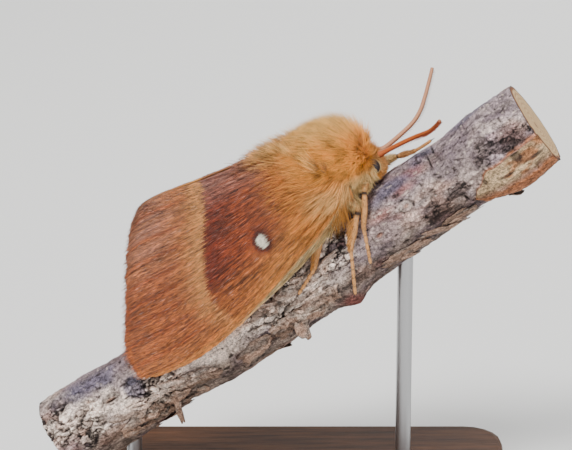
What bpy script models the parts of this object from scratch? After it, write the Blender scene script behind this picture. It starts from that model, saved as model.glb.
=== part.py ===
"""Oak eggar moth at rest on a short cut length of branch, held up by a small display stand.

The moth is built in its own frame: +X towards the head, +Y to its left, +Z up through its back,
with the origin on the branch's centre line under the thorax. Two empties tilt the moth and the
branch. Lengths in the functions are millimetres; MM turns them into metres where a mesh is made.
"""

import math
import random

import bmesh
import bpy
from mathutils import Matrix, Vector
from mathutils.bvhtree import BVHTree

MM = 0.001
SEED = 4

# Clearance between neighbouring pieces
GAP = 0.3
SEAT = 0.42

# Where the moth's origin stands over the floor, and the tilt of moth and branch
ORIGIN_X = 7.14
ORIGIN_Z = 38.0
MOTH_PITCH = 28.6
BRANCH_PITCH = 36.15

# Branch
PERCH_REAR, PERCH_FRONT = -46.0, 28.0
PERCH_RADII = (
    (-46.0, 5.5), (-40.0, 5.3), (-32.0, 4.9), (-20.0, 5.45), (-9.0, 5.5), (3.5, 5.3), (10.0, 5.25),
    (16.5, 4.95), (23.0, 5.55), (28.0, 5.5),
)
PERCH_CENTRES = (
    (-46.0, 0.1), (-32.0, -0.2), (-20.0, -0.6), (-9.0, -0.55), (3.5, -0.35), (10.0, -0.35), (28.0, -0.4),
)
PERCH_SIDES, PERCH_RINGS = 22, 26

# Stand
BASE_LENGTH, BASE_WIDTH, BASE_THICKNESS = 56.0, 38.0, 4.0
BASE_CORNER, BASE_BEVEL = 5.0, 0.8
ROD_RADIUS = 1.0
ROD_SINK = 1.6
HOLE_DEPTH = 9.0
ROD_REAR_X, ROD_FRONT_X = -21.0, 14.0

# Wings
WING_THICKNESS = 0.5
VEIN_RISE = 0.2
VEIN_HALF = 0.016
ROOF_RIDGE = ((-30.0, 17.3), (-19.4, 17.2), (-12.0, 16.5), (-4.5, 15.9), (2.0, 14.6))
ROOF_DEPTH = 17.2
ROOF_HALF = 0.45
ROOF_SPREAD = 9.55
ROOF_POWER = 0.8
ROOT_HALF = 3.7
HINDWING_INSET = 1.3

# Thorax and its coat
THORAX_CENTRE = Vector((2.4, 0.0, 11.0))
THORAX_HALF = Vector((5.1, 3.8, 4.0))
COAT_CENTRE = Vector((2.4, 0.0, 11.3))
COAT_HALF = Vector((7.1, 5.3, 6.2))
COAT_PARTING = Vector((6.3, 0.0, 9.7))
LOCK_COUNT = 150
LOCK_REACH = 4.8
LOCK_SIDES = 4
LOCK_THICKNESS = 0.62
LOCK_SINK = 0.8
LOCK_TRIES = 9

# Head
HEAD_CENTRE = Vector((7.55, 0.0, 8.15))
HEAD_HALF = Vector((1.75, 1.95, 1.85))
HEAD_LOCKS = [(up, side) for up in (-0.55, -0.15, 0.25, 1.35) for side in (-0.45, 0.0, 0.45)]
EYE_CENTRE = Vector((7.65, 1.35, 8.3))
EYE_HALF = Vector((0.9, 0.8, 1.05))
PALP_PATH = ((8.1, 0.55, 7.4), (8.4, 0.6, 7.0), (8.5, 0.6, 6.7))
PALP_RADII = (0.38, 0.38, 0.25)
ANTENNA_ROOT_RADIUS, ANTENNA_END_RADIUS, ANTENNA_TIP_RADIUS = 0.38, 0.26, 0.16
ANTENNA_FOOT_SWELL = 1.25
ANTENNA_STEPS = 16
ANTENNA_TEETH = 15
TOOTH_LENGTH, TOOTH_WIDTH = 0.85, 0.5

# Abdomen
ABDOMEN_FRONT, ABDOMEN_TIP = -2.9, -19.5
ABDOMEN_RADIUS = 3.0
ABDOMEN_HEIGHT, ABDOMEN_RISE = 7.5, 1.6
SEGMENTS = 7
SEGMENT_GROOVE = 0.05
TAIL_LOCKS = 8


def clear_scene():
    """Empties the file of its default objects."""
    for obj in list(bpy.data.objects):
        bpy.data.objects.remove(obj)


def new_collection(name):
    collection = bpy.data.collections.new(name)
    bpy.context.scene.collection.children.link(collection)
    return collection


def material(name, colour, roughness, metallic=0.0):
    made = bpy.data.materials.new(name)
    made.use_nodes = True
    shader = made.node_tree.nodes["Principled BSDF"]
    shader.inputs["Base Color"].default_value = (*colour, 1.0)
    shader.inputs["Roughness"].default_value = roughness
    shader.inputs["Metallic"].default_value = metallic
    return made


def frame_empty(name, pitch):
    """An empty at the moth's origin, its X axis raised by the pitch."""
    empty = bpy.data.objects.new(name, None)
    empty.location = (ORIGIN_X * MM, 0.0, ORIGIN_Z * MM)
    empty.rotation_euler = (0.0, -math.radians(pitch), 0.0)
    PARTS.objects.link(empty)
    return empty


def object_from(name, mesh, parent, collection, finish=None):
    obj = bpy.data.objects.new(name, mesh)
    obj.parent = parent
    collection.objects.link(obj)
    if finish:
        mesh.materials.append(finish)
    return obj


def object_from_bmesh(name, shape, parent, collection, finish=None):
    """Turns a bmesh in millimetres into an object in metres."""
    bmesh.ops.scale(shape, vec=(MM, MM, MM), verts=shape.verts)
    mesh = bpy.data.meshes.new(name)
    shape.to_mesh(mesh)
    shape.free()
    return object_from(name, mesh, parent, collection, finish)


def evaluated_mesh(obj):
    bpy.context.view_layer.update()
    graph = bpy.context.evaluated_depsgraph_get()
    return bpy.data.meshes.new_from_object(obj.evaluated_get(graph))


def apply_modifiers(obj):
    mesh = evaluated_mesh(obj)
    obj.modifiers.clear()
    obj.data = mesh


def discard(objects):
    for obj in objects:
        bpy.data.objects.remove(obj)


def boolean(obj, operation, others, solver="EXACT"):
    """Joins or cuts with a whole collection at once, applies it and removes the others."""
    group = bpy.data.collections.new("operands")
    bpy.context.scene.collection.children.link(group)
    for other in others:
        for owner in list(other.users_collection):
            owner.objects.unlink(other)
        group.objects.link(other)
    modifier = obj.modifiers.new("boolean", "BOOLEAN")
    modifier.operation = operation
    modifier.solver = solver
    modifier.operand_type = "COLLECTION"
    modifier.collection = group
    apply_modifiers(obj)
    discard(others)
    bpy.data.collections.remove(group)


def keep_largest(obj):
    """Drops every closed surface of the mesh but the one with the most volume."""
    shape = bmesh.new()
    shape.from_mesh(obj.data)
    unseen = set(shape.faces)
    bodies = []
    while unseen:
        body, front = set(), [unseen.pop()]
        while front:
            face = front.pop()
            body.add(face)
            for edge in face.edges:
                for other in edge.link_faces if len(edge.link_faces) == 2 else ():
                    if other in unseen:
                        unseen.remove(other)
                        front.append(other)
        bodies.append(body)

    def enclosed(body):
        return sum(face.calc_center_median().dot(face.normal) * face.calc_area() for face in body)

    if len(bodies) > 1:
        kept = max(bodies, key=enclosed)
        loose = [face for body in bodies if body is not kept for face in body]
        bmesh.ops.delete(shape, geom=loose, context="FACES")
    shape.to_mesh(obj.data)
    shape.free()


def grown_copy(obj, amount=GAP):
    """A copy of the object swollen by the amount, to cut its neighbours clear of it."""
    mesh = evaluated_mesh(obj)
    for vertex, normal in zip(mesh.vertices, [n.vector.copy() for n in mesh.vertex_normals]):
        vertex.co += normal * amount * MM
    copy = object_from("grown_" + obj.name, mesh, obj.parent, CUTTERS)
    copy.hide_render = True
    copy.display_type = "WIRE"
    return copy


def cut_clear(obj, neighbours, amount=GAP + 0.04):
    boolean(obj, "DIFFERENCE", [grown_copy(other, amount) for other in neighbours], "MANIFOLD")
    keep_largest(obj)


def smooth_step(edge, value):
    t = min(max(value / edge, 0.0), 1.0)
    return t * t * (3.0 - 2.0 * t)


class Curve:
    """A smooth curve through its points, read at t from 0 to 1 by length."""

    def __init__(self, *points):
        self.points = [Vector(p) for p in points]
        steps = [(b - a).length for a, b in zip(self.points, self.points[1:])]
        total = sum(steps)
        self.marks = [sum(steps[:i]) / total for i in range(len(self.points))]

    def at(self, t):
        i = max(k for k in range(len(self.marks) - 1) if self.marks[k] <= t or k == 0)
        local = (t - self.marks[i]) / (self.marks[i + 1] - self.marks[i])
        start, end = self.points[i], self.points[i + 1]
        before = self.points[i - 1] if i else start * 2 - end
        after = self.points[i + 2] if i + 2 < len(self.points) else end * 2 - start
        bend = before * 2 - start * 5 + end * 4 - after
        cubic = start * 3 - before - end * 3 + after
        return (start * 2 + (end - before) * local + bend * local**2 + cubic * local**3) / 2


def tube(name, points, radii, parent, collection, finish=None, resolution=1):
    """A tube through the points with its own radius at each, made a closed mesh."""
    curve = bpy.data.curves.new(name, "CURVE")
    curve.dimensions = "3D"
    curve.bevel_depth = MM
    curve.bevel_resolution = resolution
    curve.use_fill_caps = True
    spline = curve.splines.new("POLY")
    spline.points.add(len(points) - 1)
    for point, position, radius in zip(spline.points, points, radii):
        point.co = (*(Vector(position) * MM), 1.0)
        point.radius = radius
    guide = object_from(name + "_curve", curve, parent, collection)
    mesh = evaluated_mesh(guide)
    bpy.data.objects.remove(guide)
    shape = bmesh.new()
    shape.from_mesh(mesh)
    bmesh.ops.remove_doubles(shape, verts=shape.verts, dist=0.00001)
    bmesh.ops.recalc_face_normals(shape, faces=shape.faces)
    shape.to_mesh(mesh)
    shape.free()
    return object_from(name, mesh, parent, collection, finish)


def ellipsoid(name, centre, half, parent, collection, finish=None, segments=16, rings=10):
    shape = bmesh.new()
    bmesh.ops.create_uvsphere(shape, u_segments=segments, v_segments=rings, radius=1.0)
    bmesh.ops.rotate(shape, matrix=Matrix.Rotation(math.pi / 2, 3, "Y"), verts=shape.verts)
    bmesh.ops.scale(shape, vec=half, verts=shape.verts)
    bmesh.ops.translate(shape, vec=centre, verts=shape.verts)
    return object_from_bmesh(name, shape, parent, collection, finish)


def branch_to_moth(along, side, up):
    """A point given along, beside and above the branch, in the moth's frame."""
    turn = math.radians(BRANCH_PITCH - MOTH_PITCH)
    return Vector(
        (
            along * math.cos(turn) - up * math.sin(turn),
            side,
            along * math.sin(turn) + up * math.cos(turn),
        )
    )


def eased(along, stations):
    """A value read between stations of (place, value), easing in and out of each."""
    for (start, low), (end, high) in zip(stations, stations[1:]):
        if along <= end:
            return low + (high - low) * smooth_step(1.0, (along - start) / (end - start))
    return stations[-1][1]


def perch_bow(along):
    """Height of the branch's centre line over its straight axis."""
    return eased(along, PERCH_CENTRES)


def perch_radius(along, around):
    """Radius of the bark: slow waves, a swollen scar near the front and a bud underneath."""
    waves = 0.09 * math.sin(along * 0.31 + 2 * around) + 0.07 * math.sin(along * 0.53 - 3 * around)
    scar = 0.6 * math.exp(-(((along - 23.0) / 5.0) ** 2)) * max(0.0, math.cos(around + 2.0))
    bud = 1.1 * math.exp(-(((along + 3.5) / 1.8) ** 2)) * max(0.0, -math.cos(around - 0.5)) ** 6
    return eased(along, PERCH_RADII) + waves + scar + bud


def foothold(along, around, height):
    """A point the height above the bark, in the moth's frame; around is 0 on top, + to the left."""
    angle = math.radians(around)
    reach = perch_radius(along, angle) + height
    up = perch_bow(along) + reach * math.cos(angle)
    return branch_to_moth(along, reach * math.sin(angle), up)


def build_perch():
    shape = bmesh.new()
    length = PERCH_FRONT - PERCH_REAR
    bmesh.ops.create_cone(
        shape, cap_ends=True, segments=PERCH_SIDES, radius1=1.0, radius2=1.0, depth=length
    )
    sides = [e for e in shape.edges if abs(e.verts[0].co.z - e.verts[1].co.z) > length / 2]
    bmesh.ops.subdivide_edges(shape, edges=sides, cuts=PERCH_RINGS - 1, use_grid_fill=False)
    for vertex in shape.verts:
        along = vertex.co.z + (PERCH_REAR + PERCH_FRONT) / 2
        around = math.atan2(vertex.co.x, vertex.co.y)
        reach = perch_radius(along, around)
        vertex.co = (along, reach * math.sin(around), perch_bow(along) + reach * math.cos(around))
    bmesh.ops.recalc_face_normals(shape, faces=shape.faces)
    return object_from_bmesh("perch", shape, BRANCH_FRAME, PARTS, BARK)


def cylinder(name, x, low, high, radius, parent, collection, finish=None, sides=20):
    shape = bmesh.new()
    bmesh.ops.create_cone(
        shape, cap_ends=True, segments=sides, radius1=radius, radius2=radius, depth=high - low
    )
    bmesh.ops.translate(shape, vec=(x, 0.0, (low + high) / 2), verts=shape.verts)
    return object_from_bmesh(name, shape, parent, collection, finish)


def perch_underside(x):
    """Height over the floor of the branch's lowest line at a place along the stand."""
    slope = math.radians(BRANCH_PITCH)
    along = (x - ORIGIN_X) / math.cos(slope)
    drop = eased(along, PERCH_RADII) - eased(along, PERCH_CENTRES)
    return ORIGIN_Z + (x - ORIGIN_X) * math.tan(slope) - drop / math.cos(slope)


def build_stand(perch):
    base = bmesh.new()
    bmesh.ops.create_cube(base, size=1.0)
    size = (BASE_LENGTH, BASE_WIDTH, BASE_THICKNESS)
    bmesh.ops.scale(base, vec=size, verts=base.verts)
    bmesh.ops.translate(base, vec=(0.0, 0.0, BASE_THICKNESS / 2), verts=base.verts)
    upright = [e for e in base.edges if abs(e.verts[0].co.z - e.verts[1].co.z) > 1.0]
    bmesh.ops.bevel(base, geom=upright, offset=BASE_CORNER, segments=5, profile=0.5, affect="EDGES")
    top = [e for e in base.edges if min(v.co.z for v in e.verts) > BASE_THICKNESS - 0.01]
    bmesh.ops.bevel(base, geom=top, offset=BASE_BEVEL, segments=2, profile=0.5, affect="EDGES")
    plate = object_from_bmesh("stand_base", base, None, PARTS, WOOD)
    holes, bores = [], []
    for name, x in (("stand_rod_rear", ROD_REAR_X), ("stand_rod_front", ROD_FRONT_X)):
        low = BASE_THICKNESS - ROD_SINK + GAP
        high = perch_underside(x) + ROD_SINK + ROD_RADIUS
        cylinder(name, x, low, high, ROD_RADIUS, None, PARTS, STEEL)
        wide = ROD_RADIUS + GAP
        holes.append(cylinder("hole", x, low - GAP, low + HOLE_DEPTH, wide, None, CUTTERS))
        bores.append(cylinder("bore", x, high - HOLE_DEPTH, high + GAP, wide, None, CUTTERS))
    boolean(plate, "DIFFERENCE", holes)
    boolean(perch, "DIFFERENCE", bores)
    keep_largest(perch)


def roof_half(along, up):
    """Half width of the roof that the resting wings make, from the depth below the ridge."""
    depth = max(eased(max(along, ROOF_RIDGE[0][0]), ROOF_RIDGE) - up, 0.0) / ROOF_DEPTH
    return ROOF_HALF + ROOF_SPREAD * depth**ROOF_POWER


FOREWING = {
    "costa": Curve((4.4, 8.8), (3.1, 7.1), (-3.85, 4.2), (-13.5, 0.9), (-22.3, -0.85), (-28.4, -0.6)),
    "termen": Curve(
        (-28.4, -0.6), (-30.6, 0.4), (-30.6, 3.7), (-28.3, 7.8), (-25.0, 13.5), (-22.1, 16.4)
    ),
    "dorsum": Curve(
        (2.0, 11.4), (-0.8, 14.2), (-4.5, 15.7), (-12.0, 16.4), (-19.4, 17.2), (-22.1, 16.4)
    ),
    "root": Curve((4.4, 8.8), (3.6, 10.2), (2.0, 11.4)),
    "veins": (0.07, 0.17, 0.27, 0.37, 0.47, 0.57, 0.67, 0.78, 0.92),
    "stem_veins": (0.07, 0.17, 0.67, 0.78, 0.92),
    "cell": (0.17, 0.67),
    "cell_end": 0.48,
    "rows": 13,
    "inset": 0.25,
}
HINDWING = {
    "costa": Curve((2.4, 7.0), (0.6, 5.0), (-3.85, 3.3), (-9.0, 1.7), (-15.0, 0.4), (-20.5, 0.6)),
    "termen": Curve((-20.5, 0.6), (-23.0, 2.4), (-23.4, 6.4), (-21.6, 10.4), (-19.0, 13.2)),
    "dorsum": Curve((-0.8, 11.2), (-6.0, 13.0), (-13.0, 13.9), (-19.0, 13.2)),
    "root": Curve((2.4, 7.0), (1.0, 9.4), (-0.8, 11.2)),
    "veins": (0.1, 0.24, 0.38, 0.52, 0.66, 0.82),
    "stem_veins": (0.1, 0.24, 0.66, 0.82),
    "cell": (0.24, 0.66),
    "cell_end": 0.45,
    "rows": 11,
    "inset": 0.25 + HINDWING_INSET,
}


def outline_point(wing, run, across):
    """Coons patch between the four outline curves, seen from the side."""
    costa, dorsum = wing["costa"].at(run), wing["dorsum"].at(run)
    root, termen = wing["root"].at(across), wing["termen"].at(across)
    corners = (
        wing["root"].at(0.0) * (1 - run) * (1 - across)
        + wing["root"].at(1.0) * (1 - run) * across
        + wing["termen"].at(0.0) * run * (1 - across)
        + wing["termen"].at(1.0) * run * across
    )
    return costa * (1 - across) + dorsum * across + root * (1 - run) + termen * run - corners


def wing_point(wing, run, across):
    """A point on the wing's inner face, as a positive half width."""
    along, up = outline_point(wing, run, across)
    half = roof_half(along, up) - wing["inset"]
    root_share = 1.0 - smooth_step(0.22, run)
    half += (ROOT_HALF - 0.5 * wing["inset"] - half) * root_share
    return Vector((along, max(half, GAP * 0.7), up))


def vein_columns(wing):
    """Places across the wing for the grid's columns: foot, crest and foot of each vein."""
    columns = [0.0, 1.0]
    for vein in wing["veins"]:
        columns += [vein - VEIN_HALF, vein, vein + VEIN_HALF]
    return sorted(columns)


def build_wing(name, wing, side, finish):
    """A thin curved plate with its veins raised."""
    columns = vein_columns(wing)
    rows = wing["rows"]
    shape = bmesh.new()
    bmesh.ops.create_grid(shape, x_segments=rows, y_segments=len(columns) - 1, size=0.5)
    raised = []
    for vertex in shape.verts:
        run = vertex.co.x + 0.5
        across = columns[round((vertex.co.y + 0.5) * (len(columns) - 1))]
        in_cell = run < wing["cell_end"] - 0.02 and across not in wing["stem_veins"]
        crest = across in wing["veins"] and not in_cell and 0.05 < run < 0.99
        cross_vein = (
            abs(run - wing["cell_end"]) < 0.5 / rows
            and wing["cell"][0] <= across <= wing["cell"][1]
        )
        raised.append(1.0 if crest or cross_vein else 0.0)
        point = wing_point(wing, run, across)
        vertex.co = (point.x, point.y * side, point.z)
    for face in shape.faces:
        face.normal_update()
    if sum(face.normal.y * side for face in shape.faces) < 0:
        bmesh.ops.reverse_faces(shape, faces=shape.faces)
    bmesh.ops.triangulate(shape, faces=shape.faces)
    obj = object_from_bmesh(name, shape, MOTH_FRAME, PARTS, finish)
    group = obj.vertex_groups.new(name="veins")
    for index, weight in enumerate(raised):
        group.add([index], weight, "REPLACE")
    solid = obj.modifiers.new("thickness", "SOLIDIFY")
    solid.thickness = (WING_THICKNESS + VEIN_RISE) * MM
    solid.offset = 1.0
    solid.vertex_group = "veins"
    solid.thickness_vertex_group = WING_THICKNESS / (WING_THICKNESS + VEIN_RISE)
    apply_modifiers(obj)
    return obj


ANTENNA_PATH = Curve(
    (8.75, 0.7, 9.1), (9.9, 0.8, 9.15), (12.2, 1.7, 9.45), (14.1, 2.85, 9.75), (15.45, 4.55, 10.2),
    (16.6, 6.8, 10.9), (17.8, 8.95, 11.85), (18.65, 10.3, 12.6),
)


def antenna_path(side):
    """Forward from the foot, then outward and up to the tip."""
    points = []
    for step in range(ANTENNA_STEPS + 1):
        place = ANTENNA_PATH.at(step / ANTENNA_STEPS)
        points.append(Vector((place.x, side * place.y, place.z)))
    return points


def build_antenna(name, side):
    """A tapering shaft with a row of short teeth along its underside."""
    points = antenna_path(side)
    taper = (ANTENNA_END_RADIUS - ANTENNA_ROOT_RADIUS) / ANTENNA_STEPS
    radii = [ANTENNA_ROOT_RADIUS + taper * step for step in range(ANTENNA_STEPS + 1)]
    radii[0] *= ANTENNA_FOOT_SWELL
    radii[-1] = ANTENNA_TIP_RADIUS
    shaft = tube(name, points, radii, MOTH_FRAME, PARTS, ANTENNA_TAN)
    teeth = []
    first, last = 2.5, ANTENNA_STEPS - 1.0
    for number in range(ANTENNA_TEETH):
        place = first + (last - first) * number / (ANTENNA_TEETH - 1)
        before, after = points[int(place)], points[int(place) + 1]
        root = before.lerp(after, place % 1.0)
        along = (after - before).normalized()
        out = along.cross(Vector((0, 0, side))).normalized()
        way = (out * 0.8 - Vector((0, 0, 0.5)) + along * 0.35).normalized()
        tip = root + way * TOOTH_LENGTH
        flat = Vector((0, 0, 1))
        teeth.append(lock(root, root.lerp(tip, 0.5), tip, flat, TOOTH_WIDTH, TOOTH_WIDTH))
    fuse(shaft, teeth)
    return shaft


def leg(coxa, femur, knee, ankle, toe, tibia=0.55, locks=0):
    """Points down to the knee, then places on the bark: along, round the branch, and height."""
    return {
        "coxa": coxa, "femur": femur, "knee": knee, "ankle": ankle, "toe": toe, "tibia": tibia,
        "locks": locks,
    }


LEGS = {
    "foreleg_R": leg(
        (5.6, -1.4, 8.0), (5.6, -3.0, 7.2), (5.4, -3.9, 6.85), (3.5, -62, 0.9), (1.5, -104)
    ),
    "midleg_R": leg(
        (3.0, -1.5, 7.7), (3.3, -3.6, 6.4), (3.6, -5.0, 5.45), (0.6, -75, 0.9), (-2.6, -126), 0.62, 6
    ),
    "hindleg_R": leg(
        (0.2, -1.5, 7.6), (-0.4, -2.9, 6.2), (-1.3, -3.9, 5.3), (-4.6, -68, 0.9), (-8.2, -82), 0.6, 5
    ),
    "foreleg_L": leg((5.6, 1.4, 8.0), (7.9, 2.9, 6.9), (9.7, 3.4, 6.5), (13.0, 32, 0.75), (15.8, 22)),
    "midleg_L": leg(
        (3.0, 1.5, 7.7), (3.3, 3.6, 6.4), (3.6, 5.0, 5.45), (0.6, 75, 0.9), (-2.6, 122), 0.62, 6
    ),
    "hindleg_L": leg(
        (0.2, 1.5, 7.6), (-0.4, 2.9, 6.2), (-1.3, 3.9, 5.3), (-4.6, 68, 0.9), (-8.2, 84), 0.6, 5
    ),
}
COXA_RADIUS, FEMUR_RADIUS, KNEE_RADIUS, ANKLE_RADIUS = 0.7, 0.62, 0.45, 0.34
TARSUS_RADIUS, TOE_RADIUS = 0.27, 0.2
TARSUS_STEPS = 5


def build_leg(name, plan, dice):
    """Coxa and femur out to the knee, tibia down to the bark, tarsus laid round it."""
    ankle_along, ankle_around, ankle_height = plan["ankle"]
    toe_along, toe_around = plan["toe"]
    lift = GAP + TARSUS_RADIUS
    knee, ankle = Vector(plan["knee"]), foothold(*plan["ankle"])
    points = [Vector(plan["coxa"]), Vector(plan["femur"]), knee]
    points += [knee.lerp(ankle, 0.3), knee.lerp(ankle, 0.65), ankle]
    radii = [COXA_RADIUS, FEMUR_RADIUS, KNEE_RADIUS, plan["tibia"], plan["tibia"] * 0.92, ANKLE_RADIUS]
    for step in range(1, TARSUS_STEPS + 1):
        t = step / TARSUS_STEPS
        along = ankle_along + (toe_along - ankle_along) * t
        around = ankle_around + (toe_around - ankle_around) * t
        height = lift + (ankle_height - lift) * (1 - t) ** 2
        points.append(foothold(along, around, height + 0.06))
        radii.append(TARSUS_RADIUS if step < TARSUS_STEPS else TOE_RADIUS)
    made = tube(name, points, radii, MOTH_FRAME, PARTS, LEG_TAN)
    side = 1 if knee.y > 0 else -1
    locks = []
    for number in range(plan["locks"]):
        t = 0.05 + 0.72 * number / (plan["locks"] - 1)
        root = knee.lerp(ankle, t)
        down = (ankle - knee).normalized()
        back = Vector((-1.0, 0.25 * side, -0.1 + 0.25 * dice.uniform(-1, 1))).normalized()
        tip = root + back * dice.uniform(1.0, 1.25) + down * dice.uniform(1.3, 1.7)
        flat = Vector((0.0, side, 0.2))
        locks.append(lock(root, root + back * 0.6 + down * 0.3, tip, flat, 1.0, 0.6))
    fuse(made, locks)
    return made


def build_abdomen():
    """A tapering body with a shallow groove at each joint, ending in a tuft of locks."""
    shape = bmesh.new()
    bmesh.ops.create_uvsphere(shape, u_segments=18, v_segments=17, radius=1.0)
    bmesh.ops.rotate(shape, matrix=Matrix.Rotation(math.pi / 2, 3, "Y"), verts=shape.verts)
    length = ABDOMEN_FRONT - ABDOMEN_TIP
    for vertex in shape.verts:
        x = vertex.co.x
        share = (math.asin(max(-1.0, min(1.0, x))) / math.pi) + 0.5
        taper = min(1.0, 0.62 + 0.8 * share) * min(1.0, (share * 4.2) ** 0.6) * min(1.0, 2.0 - share)
        ring = math.hypot(vertex.co.y, vertex.co.z)
        groove = 1.0 - SEGMENT_GROOVE * math.cos(2 * math.pi * SEGMENTS * share)
        scale = ABDOMEN_RADIUS * taper * groove / max(ring, 1e-6) if ring > 1e-4 else 0.0
        vertex.co = (
            ABDOMEN_TIP + length * share,
            vertex.co.y * scale,
            ABDOMEN_HEIGHT + ABDOMEN_RISE * share + vertex.co.z * scale,
        )
    abdomen = object_from_bmesh("abdomen", shape, MOTH_FRAME, PARTS, COAT)
    tuft = []
    for number in range(TAIL_LOCKS):
        turn = 2 * math.pi * (number + 0.5) / TAIL_LOCKS
        out = Vector((0.0, math.cos(turn), math.sin(turn)))
        root = Vector((ABDOMEN_TIP + 1.9, 0.0, ABDOMEN_HEIGHT + 0.1)) + out * 0.9
        tip = root + Vector((-3.4 + 0.5 * math.cos(3 * turn), 0.0, 0.0)) + out * 0.35
        tuft.append(lock(root, root + Vector((-1.4, 0, 0)) + out * 0.5, tip, out, 1.3, 0.6))
    fuse(abdomen, tuft)
    return abdomen


def build_head(neighbours, dice):
    """A rounded head, cut clear of its neighbours, with short locks between them."""
    head = ellipsoid("head", HEAD_CENTRE, HEAD_HALF, MOTH_FRAME, PARTS, COAT, 16, 12)
    tree = surface_tree(neighbours)
    locks = []
    for up, side in HEAD_LOCKS:
        unit = Vector((math.cos(up) * math.cos(side), math.sin(side), math.sin(up) * math.cos(side)))
        skin = HEAD_CENTRE + Vector([u * h for u, h in zip(unit, HEAD_HALF)])
        way = (unit * 0.8 + Vector((0.2, 0.0, -0.5 if up < 0.9 else 0.4))).normalized()
        tip = skin + way * dice.uniform(0.5, 0.7)
        root = skin - unit * 0.6
        swollen = lock(root, skin, tip, unit, 1.5, 1.1)
        if is_clear(swollen, tree):
            locks.append(lock(root, skin, tip, unit, 0.95, 0.55))
        discard([swollen])
    cut_clear(head, neighbours)
    fuse(head, locks)
    return head


def build_eyes():
    eyes = []
    for name, side in (("eye_R", -1), ("eye_L", 1)):
        centre = Vector((EYE_CENTRE.x, side * EYE_CENTRE.y, EYE_CENTRE.z))
        eyes.append(ellipsoid(name, centre, EYE_HALF, MOTH_FRAME, PARTS, EYE_DARK, 14, 8))
    return eyes


def build_palps():
    palps = []
    for name, side in (("palp_R", -1), ("palp_L", 1)):
        points = [(x, y * side, z) for x, y, z in PALP_PATH]
        palps.append(tube(name, points, PALP_RADII, MOTH_FRAME, PARTS, COAT))
    return palps


def lock(root, bend, tip, flat, width, thickness):
    """A flat, tapered lock from root to tip, bowed towards the bend; flat is its face's normal."""
    sections = ((0.0, 0.7, 1.0), (0.4, 1.0, 0.95), (0.75, 0.62, 0.75))
    points, widths, depths = [], [], []
    for t, wide, deep in sections:
        points.append(root * (1 - t) ** 2 + bend * 2 * t * (1 - t) + tip * t**2)
        widths.append(width * wide / 2)
        depths.append(thickness * deep / 2)
    shape = bmesh.new()
    bmesh.ops.create_cone(
        shape, cap_ends=True, segments=LOCK_SIDES, radius1=1.0, radius2=1.0, depth=2.0
    )
    sides = [e for e in shape.edges if abs(e.verts[0].co.z - e.verts[1].co.z) > 1.0]
    bmesh.ops.subdivide_edges(shape, edges=sides, cuts=len(sections) - 1, use_grid_fill=False)
    for vertex in shape.verts:
        ring = round((vertex.co.z + 1.0) / 2.0 * len(sections))
        if ring == len(sections):
            vertex.co = tip
            continue
        ahead = points[ring + 1] if ring + 1 < len(points) else tip
        behind = points[max(ring - 1, 0)]
        along = (ahead - behind).normalized()
        across = along.cross(flat).normalized()
        out = across.cross(along)
        turn = math.atan2(vertex.co.y, vertex.co.x)
        offset = across * math.cos(turn) * widths[ring] + out * math.sin(turn) * depths[ring]
        vertex.co = points[ring] + offset
    bmesh.ops.remove_doubles(shape, verts=shape.verts, dist=0.001)
    bmesh.ops.recalc_face_normals(shape, faces=shape.faces)
    bmesh.ops.triangulate(shape, faces=shape.faces)
    return object_from_bmesh("lock", shape, MOTH_FRAME, CUTTERS)


def fuse(obj, pieces):
    """One union of the object with its locks or teeth."""
    if pieces:
        boolean(obj, "UNION", pieces, "MANIFOLD")
        keep_largest(obj)


def surface_tree(objects):
    """A search tree over the surfaces of several objects, in the moth's frame and millimetres."""
    shape = bmesh.new()
    to_moth = MOTH_FRAME.matrix_world.inverted()
    bpy.context.view_layer.update()
    for obj in objects:
        part = bmesh.new()
        part.from_mesh(obj.data)
        part.transform(to_moth @ obj.matrix_world)
        mesh = bpy.data.meshes.new("part")
        part.to_mesh(mesh)
        part.free()
        shape.from_mesh(mesh)
        bpy.data.meshes.remove(mesh)
    bmesh.ops.scale(shape, vec=(1 / MM, 1 / MM, 1 / MM), verts=shape.verts)
    bmesh.ops.triangulate(shape, faces=shape.faces)
    tree = BVHTree.FromBMesh(shape)
    shape.free()
    return tree


def coat_level(point):
    """How far out a point is in the coat: 0 at its middle, 1 at the tips of the longest locks."""
    away = point - COAT_CENTRE
    return Vector((away.x / COAT_HALF.x, away.y / COAT_HALF.y, away.z / COAT_HALF.z)).length


def coat_tip(point, way, level):
    """Where a lock that leaves the point along the way comes out at that level of the coat."""
    low, high = 0.0, 12.0
    for _ in range(20):
        middle = (low + high) / 2
        if coat_level(point + way * middle) < level:
            low = middle
        else:
            high = middle
    return point + way * min(low, LOCK_REACH)


def is_clear(piece, tree):
    """True where the piece's surface crosses none of the tree's."""
    shape = bmesh.new()
    shape.from_mesh(piece.data)
    bmesh.ops.scale(shape, vec=(1 / MM, 1 / MM, 1 / MM), verts=shape.verts)
    crossings = BVHTree.FromBMesh(shape).overlap(tree)
    shape.free()
    return not crossings


def clear_lock(skin, normal, way, tip, width, tree):
    """A lock bent further outwards, then shortened, until it clears the neighbours."""
    for attempt in range(LOCK_TRIES):
        lift = normal * 0.22 * attempt
        end = skin.lerp(tip, 1.0 - 0.05 * attempt) + lift
        bend = skin + normal * 1.0 + way * (tip - skin).length * 0.3 + lift
        root = skin - normal * LOCK_SINK
        room = 2 * (GAP + 0.05)
        swollen = lock(root, bend, end + way * GAP, normal, width + room, LOCK_THICKNESS + room)
        fits = is_clear(swollen, tree)
        discard([swollen])
        if fits:
            return lock(root, bend, end, normal, width, LOCK_THICKNESS)
    return None


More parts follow.
